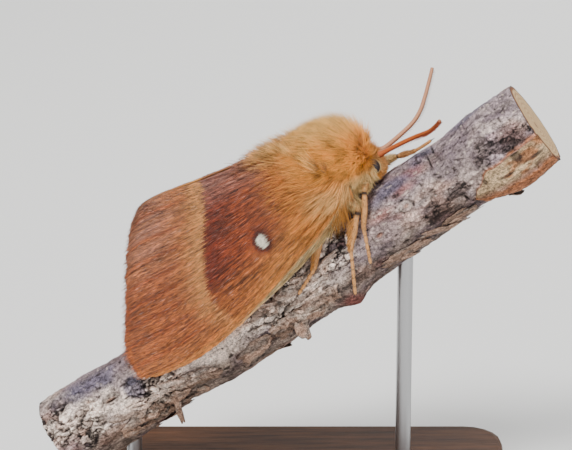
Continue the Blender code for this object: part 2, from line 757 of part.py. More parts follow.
def thorax_locks(tree, dice):
    """Locks spread evenly over the thorax, swept back, up and down from behind the neck."""
    locks = []
    for number in range(LOCK_COUNT):
        height = 1.0 - 2.0 * (number + 0.5) / LOCK_COUNT
        turn = number * math.pi * (3.0 - math.sqrt(5.0))
        ring = math.sqrt(1.0 - height * height)
        unit = Vector((height, ring * math.cos(turn), ring * math.sin(turn)))
        skin = THORAX_CENTRE + Vector([u * h for u, h in zip(unit, THORAX_HALF)])
        normal = Vector([u / h for u, h in zip(unit, THORAX_HALF)]).normalized()
        sweep = (skin - COAT_PARTING).normalized()
        way = (sweep * 0.9 + normal * 0.42 + Vector((-0.1, 0, 0))).normalized()
        tip = coat_tip(skin, way, dice.uniform(0.94, 1.05))
        width = dice.uniform(1.5, 1.95)
        if (tip - skin).length < 0.9:
            continue
        made = clear_lock(skin, normal, way, tip, width, tree)
        if made:
            locks.append(made)
    return locks


def build_thorax(neighbours, dice):
    thorax = ellipsoid("thorax", THORAX_CENTRE, THORAX_HALF, MOTH_FRAME, PARTS, COAT, 20, 12)
    locks = thorax_locks(surface_tree(neighbours), dice)
    cut_clear(thorax, neighbours, SEAT)
    fuse(thorax, locks)
    return thorax


clear_scene()
PARTS = new_collection("oak_eggar_moth")
CUTTERS = new_collection("cutters")
MOTH_FRAME = frame_empty("moth_frame", MOTH_PITCH)
BRANCH_FRAME = frame_empty("branch_frame", BRANCH_PITCH)

COAT = material("golden_coat", (0.62, 0.36, 0.12), 0.8)
WING = material("russet_wing", (0.36, 0.14, 0.06), 0.75)
HINDWING_TAN = material("tan_hindwing", (0.62, 0.42, 0.2), 0.75)
EYE_DARK = material("dark_eye", (0.05, 0.045, 0.05), 0.25)
ANTENNA_TAN = material("tan_antenna", (0.55, 0.26, 0.12), 0.6)
LEG_TAN = material("tan_leg", (0.62, 0.36, 0.14), 0.7)
BARK = material("grey_bark", (0.36, 0.31, 0.28), 0.9)
WOOD = material("stand_wood", (0.12, 0.07, 0.045), 0.4)
STEEL = material("stand_steel", (0.6, 0.6, 0.6), 0.3, 1.0)


def main():
    perch = build_perch()
    build_stand(perch)
    wings = [
        build_wing("forewing_R", FOREWING, -1, WING),
        build_wing("forewing_L", FOREWING, 1, WING),
        build_wing("hindwing_R", HINDWING, -1, HINDWING_TAN),
        build_wing("hindwing_L", HINDWING, 1, HINDWING_TAN),
    ]
    eyes = build_eyes()
    antennae = [build_antenna("antenna_R", -1), build_antenna("antenna_L", 1)]
    palps = build_palps()
    dice = random.Random(SEED)
    legs = [build_leg(name, plan, dice) for name, plan in LEGS.items()]
    head = build_head(eyes + antennae + palps + legs, dice)
    abdomen = build_abdomen()
    build_thorax([head, abdomen, perch] + eyes + antennae + palps + wings + legs, dice)


main()
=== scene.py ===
"""Oak eggar moth on a cut length of branch: skins, scales, coat, bark, stand and studio."""

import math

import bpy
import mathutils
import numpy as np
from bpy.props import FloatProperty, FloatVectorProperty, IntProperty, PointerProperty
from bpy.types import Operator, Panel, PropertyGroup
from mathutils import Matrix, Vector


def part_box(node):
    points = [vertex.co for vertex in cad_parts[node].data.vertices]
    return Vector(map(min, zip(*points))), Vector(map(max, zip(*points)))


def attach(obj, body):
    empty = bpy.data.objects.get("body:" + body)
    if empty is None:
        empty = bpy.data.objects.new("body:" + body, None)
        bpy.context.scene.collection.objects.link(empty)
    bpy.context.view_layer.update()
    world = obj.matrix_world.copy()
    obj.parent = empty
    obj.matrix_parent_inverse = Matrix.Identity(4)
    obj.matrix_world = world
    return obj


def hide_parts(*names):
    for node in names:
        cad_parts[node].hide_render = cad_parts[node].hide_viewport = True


bl_info = {
    "name": "Oak Eggar Moth",
    "version": (1, 0, 0),
    "blender": (4, 5, 0),
    "location": "View3D > Sidebar > Moth",
    "description": "Builds a furry moth at rest on a branch, with its display stand and studio",
    "category": "Add Mesh",
}

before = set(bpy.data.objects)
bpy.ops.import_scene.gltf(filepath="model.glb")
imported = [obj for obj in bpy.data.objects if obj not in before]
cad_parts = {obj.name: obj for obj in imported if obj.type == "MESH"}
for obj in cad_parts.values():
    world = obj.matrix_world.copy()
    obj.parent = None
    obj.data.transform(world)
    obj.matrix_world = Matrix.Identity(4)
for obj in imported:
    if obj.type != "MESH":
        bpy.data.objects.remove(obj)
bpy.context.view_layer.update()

MM = 0.001
SEED = 20

# The moth's own frame: +X to its head, +Y to its left, +Z through its back, in millimetres
ORIGIN = np.array((7.14, 0.0, 38.0))
MOTH_PITCH = 28.6
BRANCH_PITCH = 36.15

# Roof that the resting wings make
ROOF_RIDGE = ((-30.0, 17.3), (-19.4, 17.2), (-12.0, 16.5), (-4.5, 15.9), (2.0, 14.6))
ROOF_DEPTH = 17.2
ROOF_HALF = 0.45
ROOF_SPREAD = 9.55
ROOF_POWER = 0.8
ROOT_HALF = 3.7
PLATE = 0.5
SIDES = (("R", -1), ("L", 1))
# Between the feet and the bark
GAP = 0.3

FOREWING = {
    "costa": ((4.4, 8.8), (3.1, 7.1), (-3.85, 4.2), (-13.5, 0.9), (-22.3, -0.85), (-28.4, -0.6)),
    "termen": ((-28.4, -0.6), (-30.6, 0.4), (-30.6, 3.7), (-28.3, 7.8), (-25.0, 13.5), (-22.1, 16.4)),
    "dorsum": ((2.0, 11.4), (-0.8, 14.2), (-4.5, 15.7), (-12.0, 16.4), (-19.4, 17.2), (-22.1, 16.4)),
    "root": ((4.4, 8.8), (3.6, 10.2), (2.0, 11.4)),
    "veins": (0.07, 0.17, 0.27, 0.37, 0.47, 0.57, 0.67, 0.78, 0.92),
    "stem_veins": (0.07, 0.17, 0.67, 0.78, 0.92),
    "cell_end": 0.48,
    "inset": 0.25,
}
HINDWING = {
    "costa": ((2.4, 7.0), (0.6, 5.0), (-3.85, 3.3), (-9.0, 1.7), (-15.0, 0.4), (-20.5, 0.6)),
    "termen": ((-20.5, 0.6), (-23.0, 2.4), (-23.4, 6.4), (-21.6, 10.4), (-19.0, 13.2)),
    "dorsum": ((-0.8, 11.2), (-6.0, 13.0), (-13.0, 13.9), (-19.0, 13.2)),
    "root": ((2.4, 7.0), (1.0, 9.4), (-0.8, 11.2)),
    "veins": (0.1, 0.24, 0.38, 0.52, 0.66, 0.82),
    "stem_veins": (0.1, 0.24, 0.66, 0.82),
    "cell_end": 0.45,
    "inset": 1.55,
}

# Line of the pale band's inner edge on the forewing, as (up, along), and the white spot
BAND_EDGE = (
    (-1.0, -15.6), (1.0, -16.2), (2.5, -16.9), (4.4, -17.5), (6.2, -17.3), (8.75, -16.3), (10.6, -15.5),
    (12.55, -14.3), (14.5, -13.3), (16.25, -12.7), (18.0, -12.4),
)
SPOT_PLACE = (-8.65, 7.7)
SPOT_RADIUS = 0.86
EDGE_RUN = 0.977

# Skin under the coat, from face to tail: along, up, half width, half height
BODY_SECTIONS = (
    (8.85, 8.05, 0.02, 0.02),
    (8.7, 8.05, 0.9, 1.0),
    (8.2, 8.1, 1.3, 1.5),
    (7.4, 8.2, 1.5, 1.75),
    (6.7, 8.6, 1.75, 2.0),
    (5.9, 9.4, 2.4, 2.6),
    (4.8, 10.3, 3.1, 3.4),
    (3.0, 10.9, 3.55, 3.8),
    (1.0, 11.1, 3.6, 3.8),
    (-1.0, 10.7, 3.3, 3.4),
    (-2.8, 9.8, 2.9, 2.9),
    (-5.0, 9.1, 2.75, 2.75),
    (-9.0, 8.5, 2.7, 2.7),
    (-13.0, 8.1, 2.4, 2.4),
    (-16.5, 7.8, 1.8, 1.8),
    (-18.6, 7.6, 1.0, 1.0),
    (-19.4, 7.55, 0.02, 0.02),
)
BODY_ROWS, BODY_SIDES = 160, 64
COAT_CENTRE = np.array((2.4, 0.0, 11.3))
COAT_HALF = np.array((7.1, 5.3, 5.9))
COAT_ROUNDNESS = 2.5
COAT_PARTING = np.array((6.3, 0.0, 9.7))
COAT_REACH = 5.0
NECK = 7.3
WAIST = -2.6
CLUMP, CLUMP_RADIUS = 5, 0.26
# Bands of the thorax's coat: name, lowest and highest place on the skin, share of the full length
COAT_BANDS = (
    ("top", 0.35, 2.0, 1.0),
    ("flank", -0.35, 0.35, 1.0),
    ("chest", -2.0, -0.35, 1.0),
    ("crest", -0.1, 2.0, 0.97),
)
# Hairs in the smaller coat pieces, the fringes of a forewing and a hindwing first
FRINGE_HAIRS, BASE_HAIRS = (2600, 1000), 5200
HEAD_HAIRS, ABDOMEN_HAIRS, BELLY_HAIRS, PALP_HAIRS = 6200, 5600, 1900, 600
LEG_HAIRS, LEG_FRINGE_HAIRS, LEG_HAIR_WIDTH = 1400, 1200, 0.09
# Grid over the wings as seen from the side: its lower rear corner, its cell, and its cells along and up
COVER_CORNER = (-32.0, -3.0)
COVER_CELL = 0.15
COVER_SHAPE = (250, 150)
COVER_SAMPLES = 520

EYE_CENTRE = np.array((7.5, 1.26, 8.3))
EYE_HALF = np.array((0.8, 0.78, 0.98))
ANTENNA_PATH = (
    (8.75, 0.7, 9.1), (9.9, 0.8, 9.15), (12.2, 1.7, 9.45), (14.1, 2.85, 9.75), (15.45, 4.55, 10.2),
    (16.6, 6.8, 10.9), (17.8, 8.95, 11.85), (18.65, 10.3, 12.6),
)
ANTENNA_ROWS, ANTENNA_SIDES = 260, 16
ANTENNA_RADIUS, ANTENNA_TAPER = 0.33, 0.1
ANTENNA_RINGS = 48
ANTENNA_TEETH = 48
TOOTH_LENGTH, TOOTH_WIDTH = 0.62, 0.17
PALP_PATH = ((8.0, 0.55, 7.4), (8.35, 0.6, 7.0), (8.45, 0.6, 6.75))
PALP_RADIUS = 0.3
PALP_ROWS, PALP_SIDES = 24, 16
EYE_ROWS, EYE_SIDES = 40, 48

# Legs: points to the knee, then places on the bark as along, degrees round, height
LEGS = {
    "foreleg_R": ((5.6, -1.4, 8.0), (5.6, -3.0, 7.2), (5.4, -3.9, 6.85), (3.5, -62, 0.9), (1.5, -104)),
    "midleg_R": ((3.0, -1.5, 7.7), (3.3, -3.6, 6.4), (3.6, -5.0, 5.45), (0.6, -75, 0.9), (-2.6, -126)),
    "hindleg_R": ((0.2, -1.5, 7.6), (-0.4, -2.9, 6.2), (-1.3, -3.9, 5.3), (-4.6, -68, 0.9), (-8.2, -82)),
    "foreleg_L": ((5.6, 1.4, 8.0), (7.9, 2.9, 6.9), (9.7, 3.4, 6.5), (13.0, 32, 0.75), (15.8, 22)),
    "midleg_L": ((3.0, 1.5, 7.7), (3.3, 3.6, 6.4), (3.6, 5.0, 5.45), (0.6, 75, 0.9), (-2.6, 122)),
    "hindleg_L": ((0.2, 1.5, 7.6), (-0.4, 2.9, 6.2), (-1.3, 3.9, 5.3), (-4.6, 68, 0.9), (-8.2, 84)),
}
TARSUS_RADIUS = 0.22
# Radii of a leg: body, femur, above and below the knee, mid tibia, ankle, and three places on the tarsus
LEG_RADII = (0.62, 0.58, 0.34, 0.3, 0.4, 0.26, TARSUS_RADIUS, 0.21, 0.18)
LEG_ROWS, LEG_SIDES = 140, 14
CLAW_WIDTH = 0.11
TARSUS_JOINTS = 5
LEG_REFERENCE = (0.3, 0.1, 1.0)

# Branch, along its own axis
PERCH_REAR, PERCH_FRONT = -46.0, 28.0
PERCH_RADII = (
    (-46.0, 5.5), (-40.0, 5.3), (-32.0, 4.9), (-20.0, 5.45), (-9.0, 5.5), (3.5, 5.3), (10.0, 5.25),
    (16.5, 4.95), (23.0, 5.55), (28.0, 5.5),
)
PERCH_CENTRES = (
    (-46.0, 0.1), (-32.0, -0.2), (-20.0, -0.6), (-9.0, -0.55), (3.5, -0.35), (10.0, -0.35), (28.0, -0.4),
)
# Radii that turn an angle round the branch into a width on its bark, for marks and for flakes
MARK_RADIUS, FLAKE_RADIUS = 5.3, 5.4
# Bud under the branch: where it is along, and how far round from straight down in radians
BUD_ALONG, BUD_TURN = -3.5, 0.5
# Places on the bark, each as along, degrees round, length, width: leaf scars, dark slits, wavy plates,
# dark crust, even lilac bark, pale bark with painted light over the wing's shadow, red stains,
# painted blue grey shade, a knob, a swollen shoulder and knots in the peeled wood
SCARS = (
    (9.4, -68, 1.7, 1.2), (4.5, -81, 1.6, 0.9), (-36.7, -63, 2.6, 1.0), (-39.3, -48, 1.3, 0.8),
    (21.0, 30, 2.0, 1.2), (-15.0, 95, 2.2, 1.2), (2.0, 140, 1.8, 1.0), (-28.0, 150, 2.0, 1.1),
)
SLITS = (
    (14.7, -30, 0.4, 3.0), (15.6, -6, 0.35, 2.4), (13.5, -20, 1.0, 0.5), (16.2, -107, 0.5, 1.1),
    (-36.7, -64, 1.9, 0.4), (-30.4, -96, 0.5, 2.6), (-25.6, -104, 2.4, 0.35), (6.6, -112, 1.0, 0.4),
    (-3.6, -74, 0.4, 1.4),
)
PLATED = (
    (-42.5, -58, 11.0, 7.0), (-31.0, -102, 9.0, 6.5), (-10.0, -80, 11.0, 8.5), (-2.0, -62, 6.0, 5.0),
    (-20.0, 60, 14.0, 9.0), (10.0, 120, 10.0, 7.0), (-38.0, 140, 8.0, 8.0),
)
CRUSTED = (
    (21.3, -68, 5.0, 3.0), (12.2, -98, 5.0, 2.4), (26.0, -72, 6.0, 2.6), (16.2, -92, 3.4, 2.0),
    (-33.3, -68, 2.8, 3.6), (5.0, 70, 6.0, 4.0), (-8.0, 170, 7.0, 4.0),
)
EVEN = (
    (-21.5, -84, 10.0, 6.5), (4.0, -84, 8.0, 5.0), (9.5, -30, 9.0, 6.0), (17.5, -44, 8.0, 6.0),
    (-36.0, -20, 14.0, 7.0),
)
# Pale bark patches, partly painted light that lifts the wing's shadow on the bark below it
PALE_AND_LIT_BARK = ((-21.5, -74, 13.0, 7.0), (-33.0, -84, 9.0, 5.0), (-10.0, -68, 12.0, 7.0), (-41.0, -62, 9.0, 5.0))
RED_STAINS = (
    (10.0, -46, 5.0, 1.8), (6.4, -60, 5.0, 1.6), (12.4, -30, 4.0, 2.0), (-29.0, -120, 4.0, 2.0),
    (-4.2, -140, 3.0, 3.0),
)
# Blue grey patches: painted cool shade on the bark
BLUE_SHADE = (
    (13.8, -4, 4.4, 5.0), (8.5, -34, 7.0, 2.6), (-33.3, -66, 3.2, 3.8), (22.0, 10, 9.0, 3.0),
    (5.0, -10, 7.0, 4.0), (-38.0, -24, 12.0, 4.0),
)
KNOB = (17.0, -104, 1.5, 1.4)
SHOULDER = (13.6, -6, 3.6, 3.6)
WOOD_KNOTS = ((24.4, -95, 1.3, 2.8), (19.2, -104, 0.6, 1.3), (22.0, -112, 2.6, 0.5), (26.6, -111, 2.0, 0.6))
# Cells a millimetre, along, across and up, of the patterns that part the bark into plates and chips
PLATE_SCALE = (0.23, 0.86, 0.86)
CHIP_SCALE = (0.45, 1.35, 1.35)
# How much closer together the points round the branch are on the side that faces the camera
FACING_SIDE = math.radians(-90)
FACING_SHARE = 0.45
# Strip where the bark has peeled off: along, middle in degrees round, half width in degrees
PEEL = ((16.6, -118.0, 0.0), (18.2, -114.0, 11.0), (20.5, -107.0, 17.0), (28.0, -106.0, 19.0))
# Zones of loose flakes: along from and to, degrees from and to, and how many
FLAKE_ZONES = (
    (-18.0, -3.0, -128, -62, 34), (-37.0, -25.0, -150, -90, 30), (-45.0, 27.0, 60, 200, 60),
    (3.0, 16.0, -146, -122, 12),
)
# Flakes placed one by one: along, degrees round, length, width, turn in degrees, lift of the curled end
CURLED_FLAKES = (
    (-10.4, -119.0, 3.2, 2.0, -125.0, 1.7), (-30.2, -128.0, 3.6, 0.9, -120.0, 2.3),
    (-6.0, -104.0, 3.0, 1.2, 15.0, 0.5), (22.5, -131.0, 9.5, 2.2, 3.0, 0.35),
    (-24.0, -112.0, 3.4, 1.2, 10.0, 0.5),
)
FLAKE_LENGTHS, FLAKE_WIDTHS = (1.6, 6.0), (0.7, 2.1)
FLAKE_TURN, FLAKE_CURLS = 14.0, (0.04, 0.5)
FLAKE_ROWS, FLAKE_COLUMNS = 11, 7
END_STEPS = 26
YEAR_RINGS = 8
ROD_SIDES, ROD_CHAMFER = 48, 0.15

# Camera: the place that it looks at, how far off and how many degrees up it is, and the width it sees
VIEW_TARGET = ORIGIN + np.array((-8.38, 0.0, 2.45))
VIEW_DISTANCE = 400.0
VIEW_ELEVATION = 21.0
VIEW_WIDTH = 72.64
SENSOR = 36.0
CLIP_START, CLIP_END = 0.01, 20.0
# Studio: the floor's front and back, where it turns up and how widely, and its half width, in millimetres
FLOOR_FRONT, FLOOR_BACK = -1500.0, 2600.0
FLOOR_TURN, FLOOR_RADIUS = 1400.0, 400.0
FLOOR_HALF = 2500.0
FLOOR_ROWS, FLOOR_COLUMNS = 60, 12
SKY_TINT = (0.96, 0.98, 1.0, 1.0)
# Soft lights: name, place and size in millimetres, and the setting that holds the power
LIGHTS = (
    ("key_light", (-160.0, -240.0, 430.0), 130.0, "key_power"),
    ("fill_light", (300.0, -330.0, 140.0), 300.0, "fill_power"),
    ("rim_light", (120.0, 300.0, 260.0), 200.0, "rim_power"),
)
# Whole numbers that mix a cell's three coordinates and the seed, and one that mixes their sum
HASH_FACTORS = (374761393, 668265263, 1440662683, 974634777)
HASH_AGAIN = 1274126177

TINT = "tint"
PLATES = "plates"
BAKE_MAP = "OFBake"
PATCH = 0.003


def colour(title, red, green, blue):
    """A colour property from its screen values, 0 to 255."""
    screen = np.array((red, green, blue)) / 255.0
    linear = np.where(screen <= 0.04045, screen / 12.92, ((screen + 0.055) / 1.055) ** 2.4)
    return FloatVectorProperty(
        name=title,
        description=f"Colour of the {title.lower()}",
        subtype="COLOR",
        size=3,
        min=0.0,
        max=1.0,
        default=tuple(float(v) for v in linear),
    )


def number(title, description, default, least, **unit):
    """A whole-number or decimal property, as its default is, with its least value."""
    kind = IntProperty if isinstance(default, int) else FloatProperty
    return kind(name=title, description=description, default=default, min=least, **unit)


class MothColours(PropertyGroup):
    """Colours of the moth, its branch and its stand"""

    coat_gold: colour("Golden coat", 226, 151, 66)
    coat_pale: colour("Pale coat tips", 252, 203, 120)
    coat_dark: colour("Dark brown coat", 184, 112, 22)
    coat_chest: colour("Chest coat", 255, 214, 146)
    russet: colour("Russet wing", 164, 78, 37)
    maroon: colour("Maroon wing", 124, 49, 27)
    costa_tan: colour("Orange tan wing edge", 243, 159, 78)
    band: colour("Pale wing band", 240, 168, 98)
    outer_wing: colour("Outer wing", 199, 123, 68)
    bloom: colour("Purple bloom on the wing", 176, 122, 104)
    cream: colour("Cream wing edge", 250, 214, 152)
    hindwing_tan: colour("Hindwing", 200, 142, 82)
    spot_white: colour("Wing spot", 246, 238, 216)
    spot_ring: colour("Ring round the spot", 84, 34, 24)
    eye: colour("Eye", 42, 36, 38)
    antenna: colour("Feeler", 184, 90, 34)
    antenna_pale: colour("Feeler inner side", 208, 148, 112)
    antenna_dark: colour("Feeler underside", 112, 44, 14)
    leg: colour("Leg", 212, 152, 94)
    leg_ring: colour("Knee ring", 44, 30, 24)
    bark_grey: colour("Grey bark", 168, 149, 143)
    bark_lilac: colour("Lilac bark", 152, 133, 139)
    # Colour of the painted blue grey shade on the bark
    bark_blue: colour("Blue grey painted shade", 104, 100, 122)
    bark_cream: colour("Cream flakes", 250, 228, 212)
    bark_dark: colour("Dark cracks", 48, 38, 36)
    bark_red: colour("Red bark", 160, 92, 84)
    peeled: colour("Peeled wood", 218, 186, 146)
    rust: colour("Rusty bark edge", 176, 108, 64)
    cut_wood: colour("Sawn wood", 224, 190, 138)
    base_wood: colour("Base wood", 78, 48, 28)
    steel: colour("Steel", 178, 178, 180)


class MothSizes(PropertyGroup):
    """How finely each piece is made"""

    wing_rows: number("Wing rows", "Grid rows from root to edge", 130, 20)
    wing_columns: number("Wing columns", "Grid columns across", 90, 20)
    wing_scales: number("Wing scales", "Hair scales on a forewing", 42000, 100)
    coat_hairs: number("Coat hairs", "Hairs in each coat piece", 14000, 100)
    hair_width: number("Hair width", "Width of a coat tuft in mm", 0.085, 0.01)
    bark_rows: number("Bark rows", "Rings along the branch", 560, 40)
    bark_columns: number("Bark columns", "Points round the branch", 176, 40)


class StageSettings(PropertyGroup):
    """Floor and lights"""

    floor: colour("Floor", 251, 250, 247)
    key_power: number("Key light", "Main soft light", 2.75, 0.0, unit="POWER")
    fill_power: number("Fill light", "Front fill", 0.75, 0.0, unit="POWER")
    rim_power: number("Rim light", "Light from behind", 0.7, 0.0, unit="POWER")
    sky: number("Sky", "Strength of the even light", 0.5, 0.0)


def tints():
    """The colour properties as arrays."""
    settings = bpy.context.scene.moth_colours
    return {name: np.array(getattr(settings, name)) for name in MothColours.__annotations__}


def unit(vectors):
    """The vectors, each divided by its length."""
    return vectors / np.maximum(np.linalg.norm(vectors, axis=-1, keepdims=True), 1e-9)


def smooth(low, high, value):
    """0 on low's side, 1 on high's, with an S-shaped rise between them. Either may be the larger."""
    t = np.clip((value - low) / (high - low), 0.0, 1.0)
    return t * t * (3.0 - 2.0 * t)


def blend(first, second, share):
    """Mixes two colours, or arrays of them, by a share from 0 to 1."""
    share = np.asarray(share)[..., None]
    return first * (1.0 - share) + second * share


def layered(tone, *layers):
    """The tone with each layer, given as (colour, share from 0 to 1), laid over it in turn."""
    for cover, share in layers:
        tone = blend(tone, cover, share)
    return tone


def bell(offset, width):
    """Bell curve: 1 where the offset is zero, falling away on both sides over the width."""
    return np.exp(-((offset / width) ** 2))


def spline(points, t):
    """Catmull-Rom curve through the points, read at t from 0 to 1 by length between points."""
    points = np.asarray(points, float)
    t = np.asarray(t, float)
    steps = np.linalg.norm(np.diff(points, axis=0), axis=1)
    marks = np.concatenate(([0.0], np.cumsum(steps))) / steps.sum()
    piece = np.clip(np.searchsorted(marks, t, side="right") - 1, 0, len(points) - 2)
    local = ((t - marks[piece]) / (marks[piece + 1] - marks[piece]))[..., None]
    padded = np.vstack([2 * points[0] - points[1], points, 2 * points[-1] - points[-2]])
    before, start, end, after = (padded[piece + k] for k in range(4))
    bend = 2 * before - 5 * start + 4 * end - after
    cubic = 3 * start - before - 3 * end + after
    return 0.5 * (2 * start + (end - before) * local + bend * local**2 + cubic * local**3)


def eased(place, stations):
    """Value between stations of (place, value), easing in and out of each one."""
    places, values = np.array(stations).T
    place = np.clip(place, places[0], places[-1])
    piece = np.clip(np.searchsorted(places, place, side="left") - 1, 0, len(places) - 2)
    local = (place - places[piece]) / (places[piece + 1] - places[piece])
    return values[piece] + (values[piece + 1] - values[piece]) * local * local * (3 - 2 * local)


def lattice(cell, seed):
    """A repeatable number from 0 to 1 for each whole-number cell: its coordinates are hashed."""
    first, second, third, last = HASH_FACTORS
    mixed = cell[..., 0] * first + cell[..., 1] * second + cell[..., 2] * third + seed * last
    mixed = (mixed ^ (mixed >> 13)) & 0xFFFFFFFF
    mixed = (mixed * HASH_AGAIN) & 0xFFFFFFFF
    mixed = (mixed ^ (mixed >> 16)) & 0xFFFFFF
    return mixed / float(0xFFFFFF)


def noise(points, size, seed=0):
    """Value noise from 0 to 1: random numbers at the corners of cubes of that size, blended."""
    scaled = np.asarray(points, float) / size
    cell = np.floor(scaled).astype(np.int64)
    local = scaled - cell
    local = local * local * (3.0 - 2.0 * local)
    total = 0.0
    for corner in np.ndindex(2, 2, 2):
        corner = np.array(corner)
        weight = np.prod(np.where(corner == 1, local, 1.0 - local), axis=-1)
        total = total + weight * lattice(cell + corner, seed)
    return total


def fractal(points, size, octaves=4, seed=0):
    """Sum of noises, each of half the size and half the height of the one before."""
    total, weight = 0.0, 0.0
    for octave in range(octaves):
        total = total + noise(points, size / 2**octave, seed + octave) / 2**octave
        weight += 1 / 2**octave
    return total / weight


def turned(points, degrees):
    """Points turned about the Y axis so that their +X rises by the degrees."""
    turn = math.radians(degrees)
    along, side, up = np.moveaxis(np.asarray(points, float), -1, 0)
    ahead = along * math.cos(turn) - up * math.sin(turn)
    return np.stack([ahead, side, along * math.sin(turn) + up * math.cos(turn)], -1)


def to_world(points, pitch):
    """Tilts points of the moth's or the branch's frame by the pitch and sets them over the floor."""
    return turned(points, pitch) + ORIGIN


def branch_to_moth(points):
    """Points of the branch's frame in the moth's frame: turned by the difference of pitches."""
    return turned(points, BRANCH_PITCH - MOTH_PITCH)


def moth_to_branch(points):
    """Points of the moth's frame in the branch's frame: turned back by the same difference."""
    return turned(points, MOTH_PITCH - BRANCH_PITCH)


def bud(along, around, length):
    """A bell along the branch times a narrow cosine lobe round it: 1 at the bud's top."""
    return bell(along - BUD_ALONG, length) * np.maximum(0.0, -np.cos(around - BUD_TURN)) ** 6


def perch_radius(along, around):
    """Radius of the branch: slow waves, a swollen scar near the front and a bud underneath."""
    waves = 0.09 * np.sin(along * 0.31 + 2 * around) + 0.07 * np.sin(along * 0.53 - 3 * around)
    scar = 0.6 * bell(along - 23.0, 5.0) * np.maximum(0.0, np.cos(around + 2.0))
    return eased(along, PERCH_RADII) + waves + scar + 1.1 * bud(along, around, 1.8)


def on_branch(along, around, height):
    """Points that height over the branch's smooth form, in the branch's frame."""
    reach = perch_radius(along, around) + height
    up = eased(along, PERCH_CENTRES) + reach * np.cos(around)
    return np.stack(np.broadcast_arrays(along, reach * np.sin(around), up), -1)


def foothold(along, degrees, height):
    """A point that height above the bark, in the moth's frame."""
    return branch_to_moth(on_branch(along, np.radians(degrees), height))


def off_the_branch(points, gap):
    """Moves points that are inside the branch, or nearer than the gap, straight out of it."""
    placed = moth_to_branch(points)
    centre = eased(placed[..., 0], PERCH_CENTRES)
    up = placed[..., 2] - centre
    around = np.arctan2(placed[..., 1], up)
    reach = np.hypot(placed[..., 1], up)
    least = perch_radius(placed[..., 0], around) + gap
    grown = np.maximum(reach, least)
    placed[..., 1] = grown * np.sin(around)
    placed[..., 2] = centre + grown * np.cos(around)
    return branch_to_moth(placed)


def outline(wing, run, across):
    """Coons patch between the wing's four outline curves, seen from the side, as along and up."""
    costa, dorsum = spline(wing["costa"], run), spline(wing["dorsum"], run)
    root, termen = spline(wing["root"], across), spline(wing["termen"], across)
    run, across = run[..., None], across[..., None]
    ends = [spline(wing[name], np.array(t)) for name in ("root", "termen") for t in (0.0, 1.0)]
    corners = (
        ends[0] * (1 - run) * (1 - across)
        + ends[1] * (1 - run) * across
        + ends[2] * run * (1 - across)
        + ends[3] * run * across
    )
    return costa * (1 - across) + dorsum * across + root * (1 - run) + termen * run - corners


def wing_surface(wing, side, run, across):
    """Inner face of a resting wing: the outline hung on a tent that widens below its ridge."""
    place = outline(wing, run, across)
    along, up = place[..., 0], place[..., 1]
    depth = np.maximum(eased(along, ROOF_RIDGE) - up, 0.0) / ROOF_DEPTH
    half = ROOF_HALF + ROOF_SPREAD * depth**ROOF_POWER - wing["inset"]
    root_share = 1.0 - smooth(0.0, 0.22, run)
    half = half + (ROOT_HALF - 0.5 * wing["inset"] - half) * root_share
    return np.stack([along, side * np.maximum(half, 0.21), up], -1)


def grid_normals(points):
    """Unit normals of a surface given as a grid of points, from its two sets of differences."""
    return unit(np.cross(np.gradient(points, axis=0), np.gradient(points, axis=1)))


def grid_faces(rows, columns, offset=0, closed=False):
    """Quads between neighbouring points of a grid, joined round if it is closed."""
    last = columns if closed else columns - 1
    row, column = np.meshgrid(np.arange(rows - 1), np.arange(last), indexing="ij")
    beside = (column + 1) % columns
    low, high = row * columns, (row + 1) * columns
    return np.stack([low + column, low + beside, high + beside, high + column], -1).reshape(-1, 4) + offset


def rim_wall(rim, count):
    """Quads between a rim of points and the same rim of the grid that lies count points later."""
    beside = np.roll(rim, -1)
    return np.stack([beside, rim, rim + count, beside + count], -1)


def plate_faces(rows, columns):
    """Faces of a closed plate: an upper grid, a lower grid after it and the wall between their rims."""
    count = rows * columns
    rim = np.concatenate(
        [
            np.arange(columns - 1),
            np.arange(rows - 1) * columns + columns - 1,
            count - 1 - np.arange(columns - 1),
            (rows - 1 - np.arange(rows - 1)) * columns,
        ]
    )
    return [grid_faces(rows, columns), grid_faces(rows, columns, count)[:, ::-1], rim_wall(rim, count)]


def tube_faces(rows, sides):
    """Faces of a closed tube: its rings, then a fan to each of the two points that follow them."""
    side = np.arange(sides)
    beside = (side + 1) % sides
    first, base = rows * sides, (rows - 1) * sides
    start = np.stack([np.full(sides, first), beside, side], -1)
    end = np.stack([np.full(sides, first + 1), base + side, base + beside], -1)
    return [grid_faces(rows, sides, closed=True), start, end]


def enclosed(points, faces):
    """Signed volume inside the faces: each one's pyramid to the origin."""
    total = 0.0
    for shape in faces:
        corners = points[shape]
        for k in range(1, shape.shape[1] - 1):
            total += np.einsum("ij,ij->i", corners[:, 0], np.cross(corners[:, k], corners[:, k + 1])).sum()
    return total


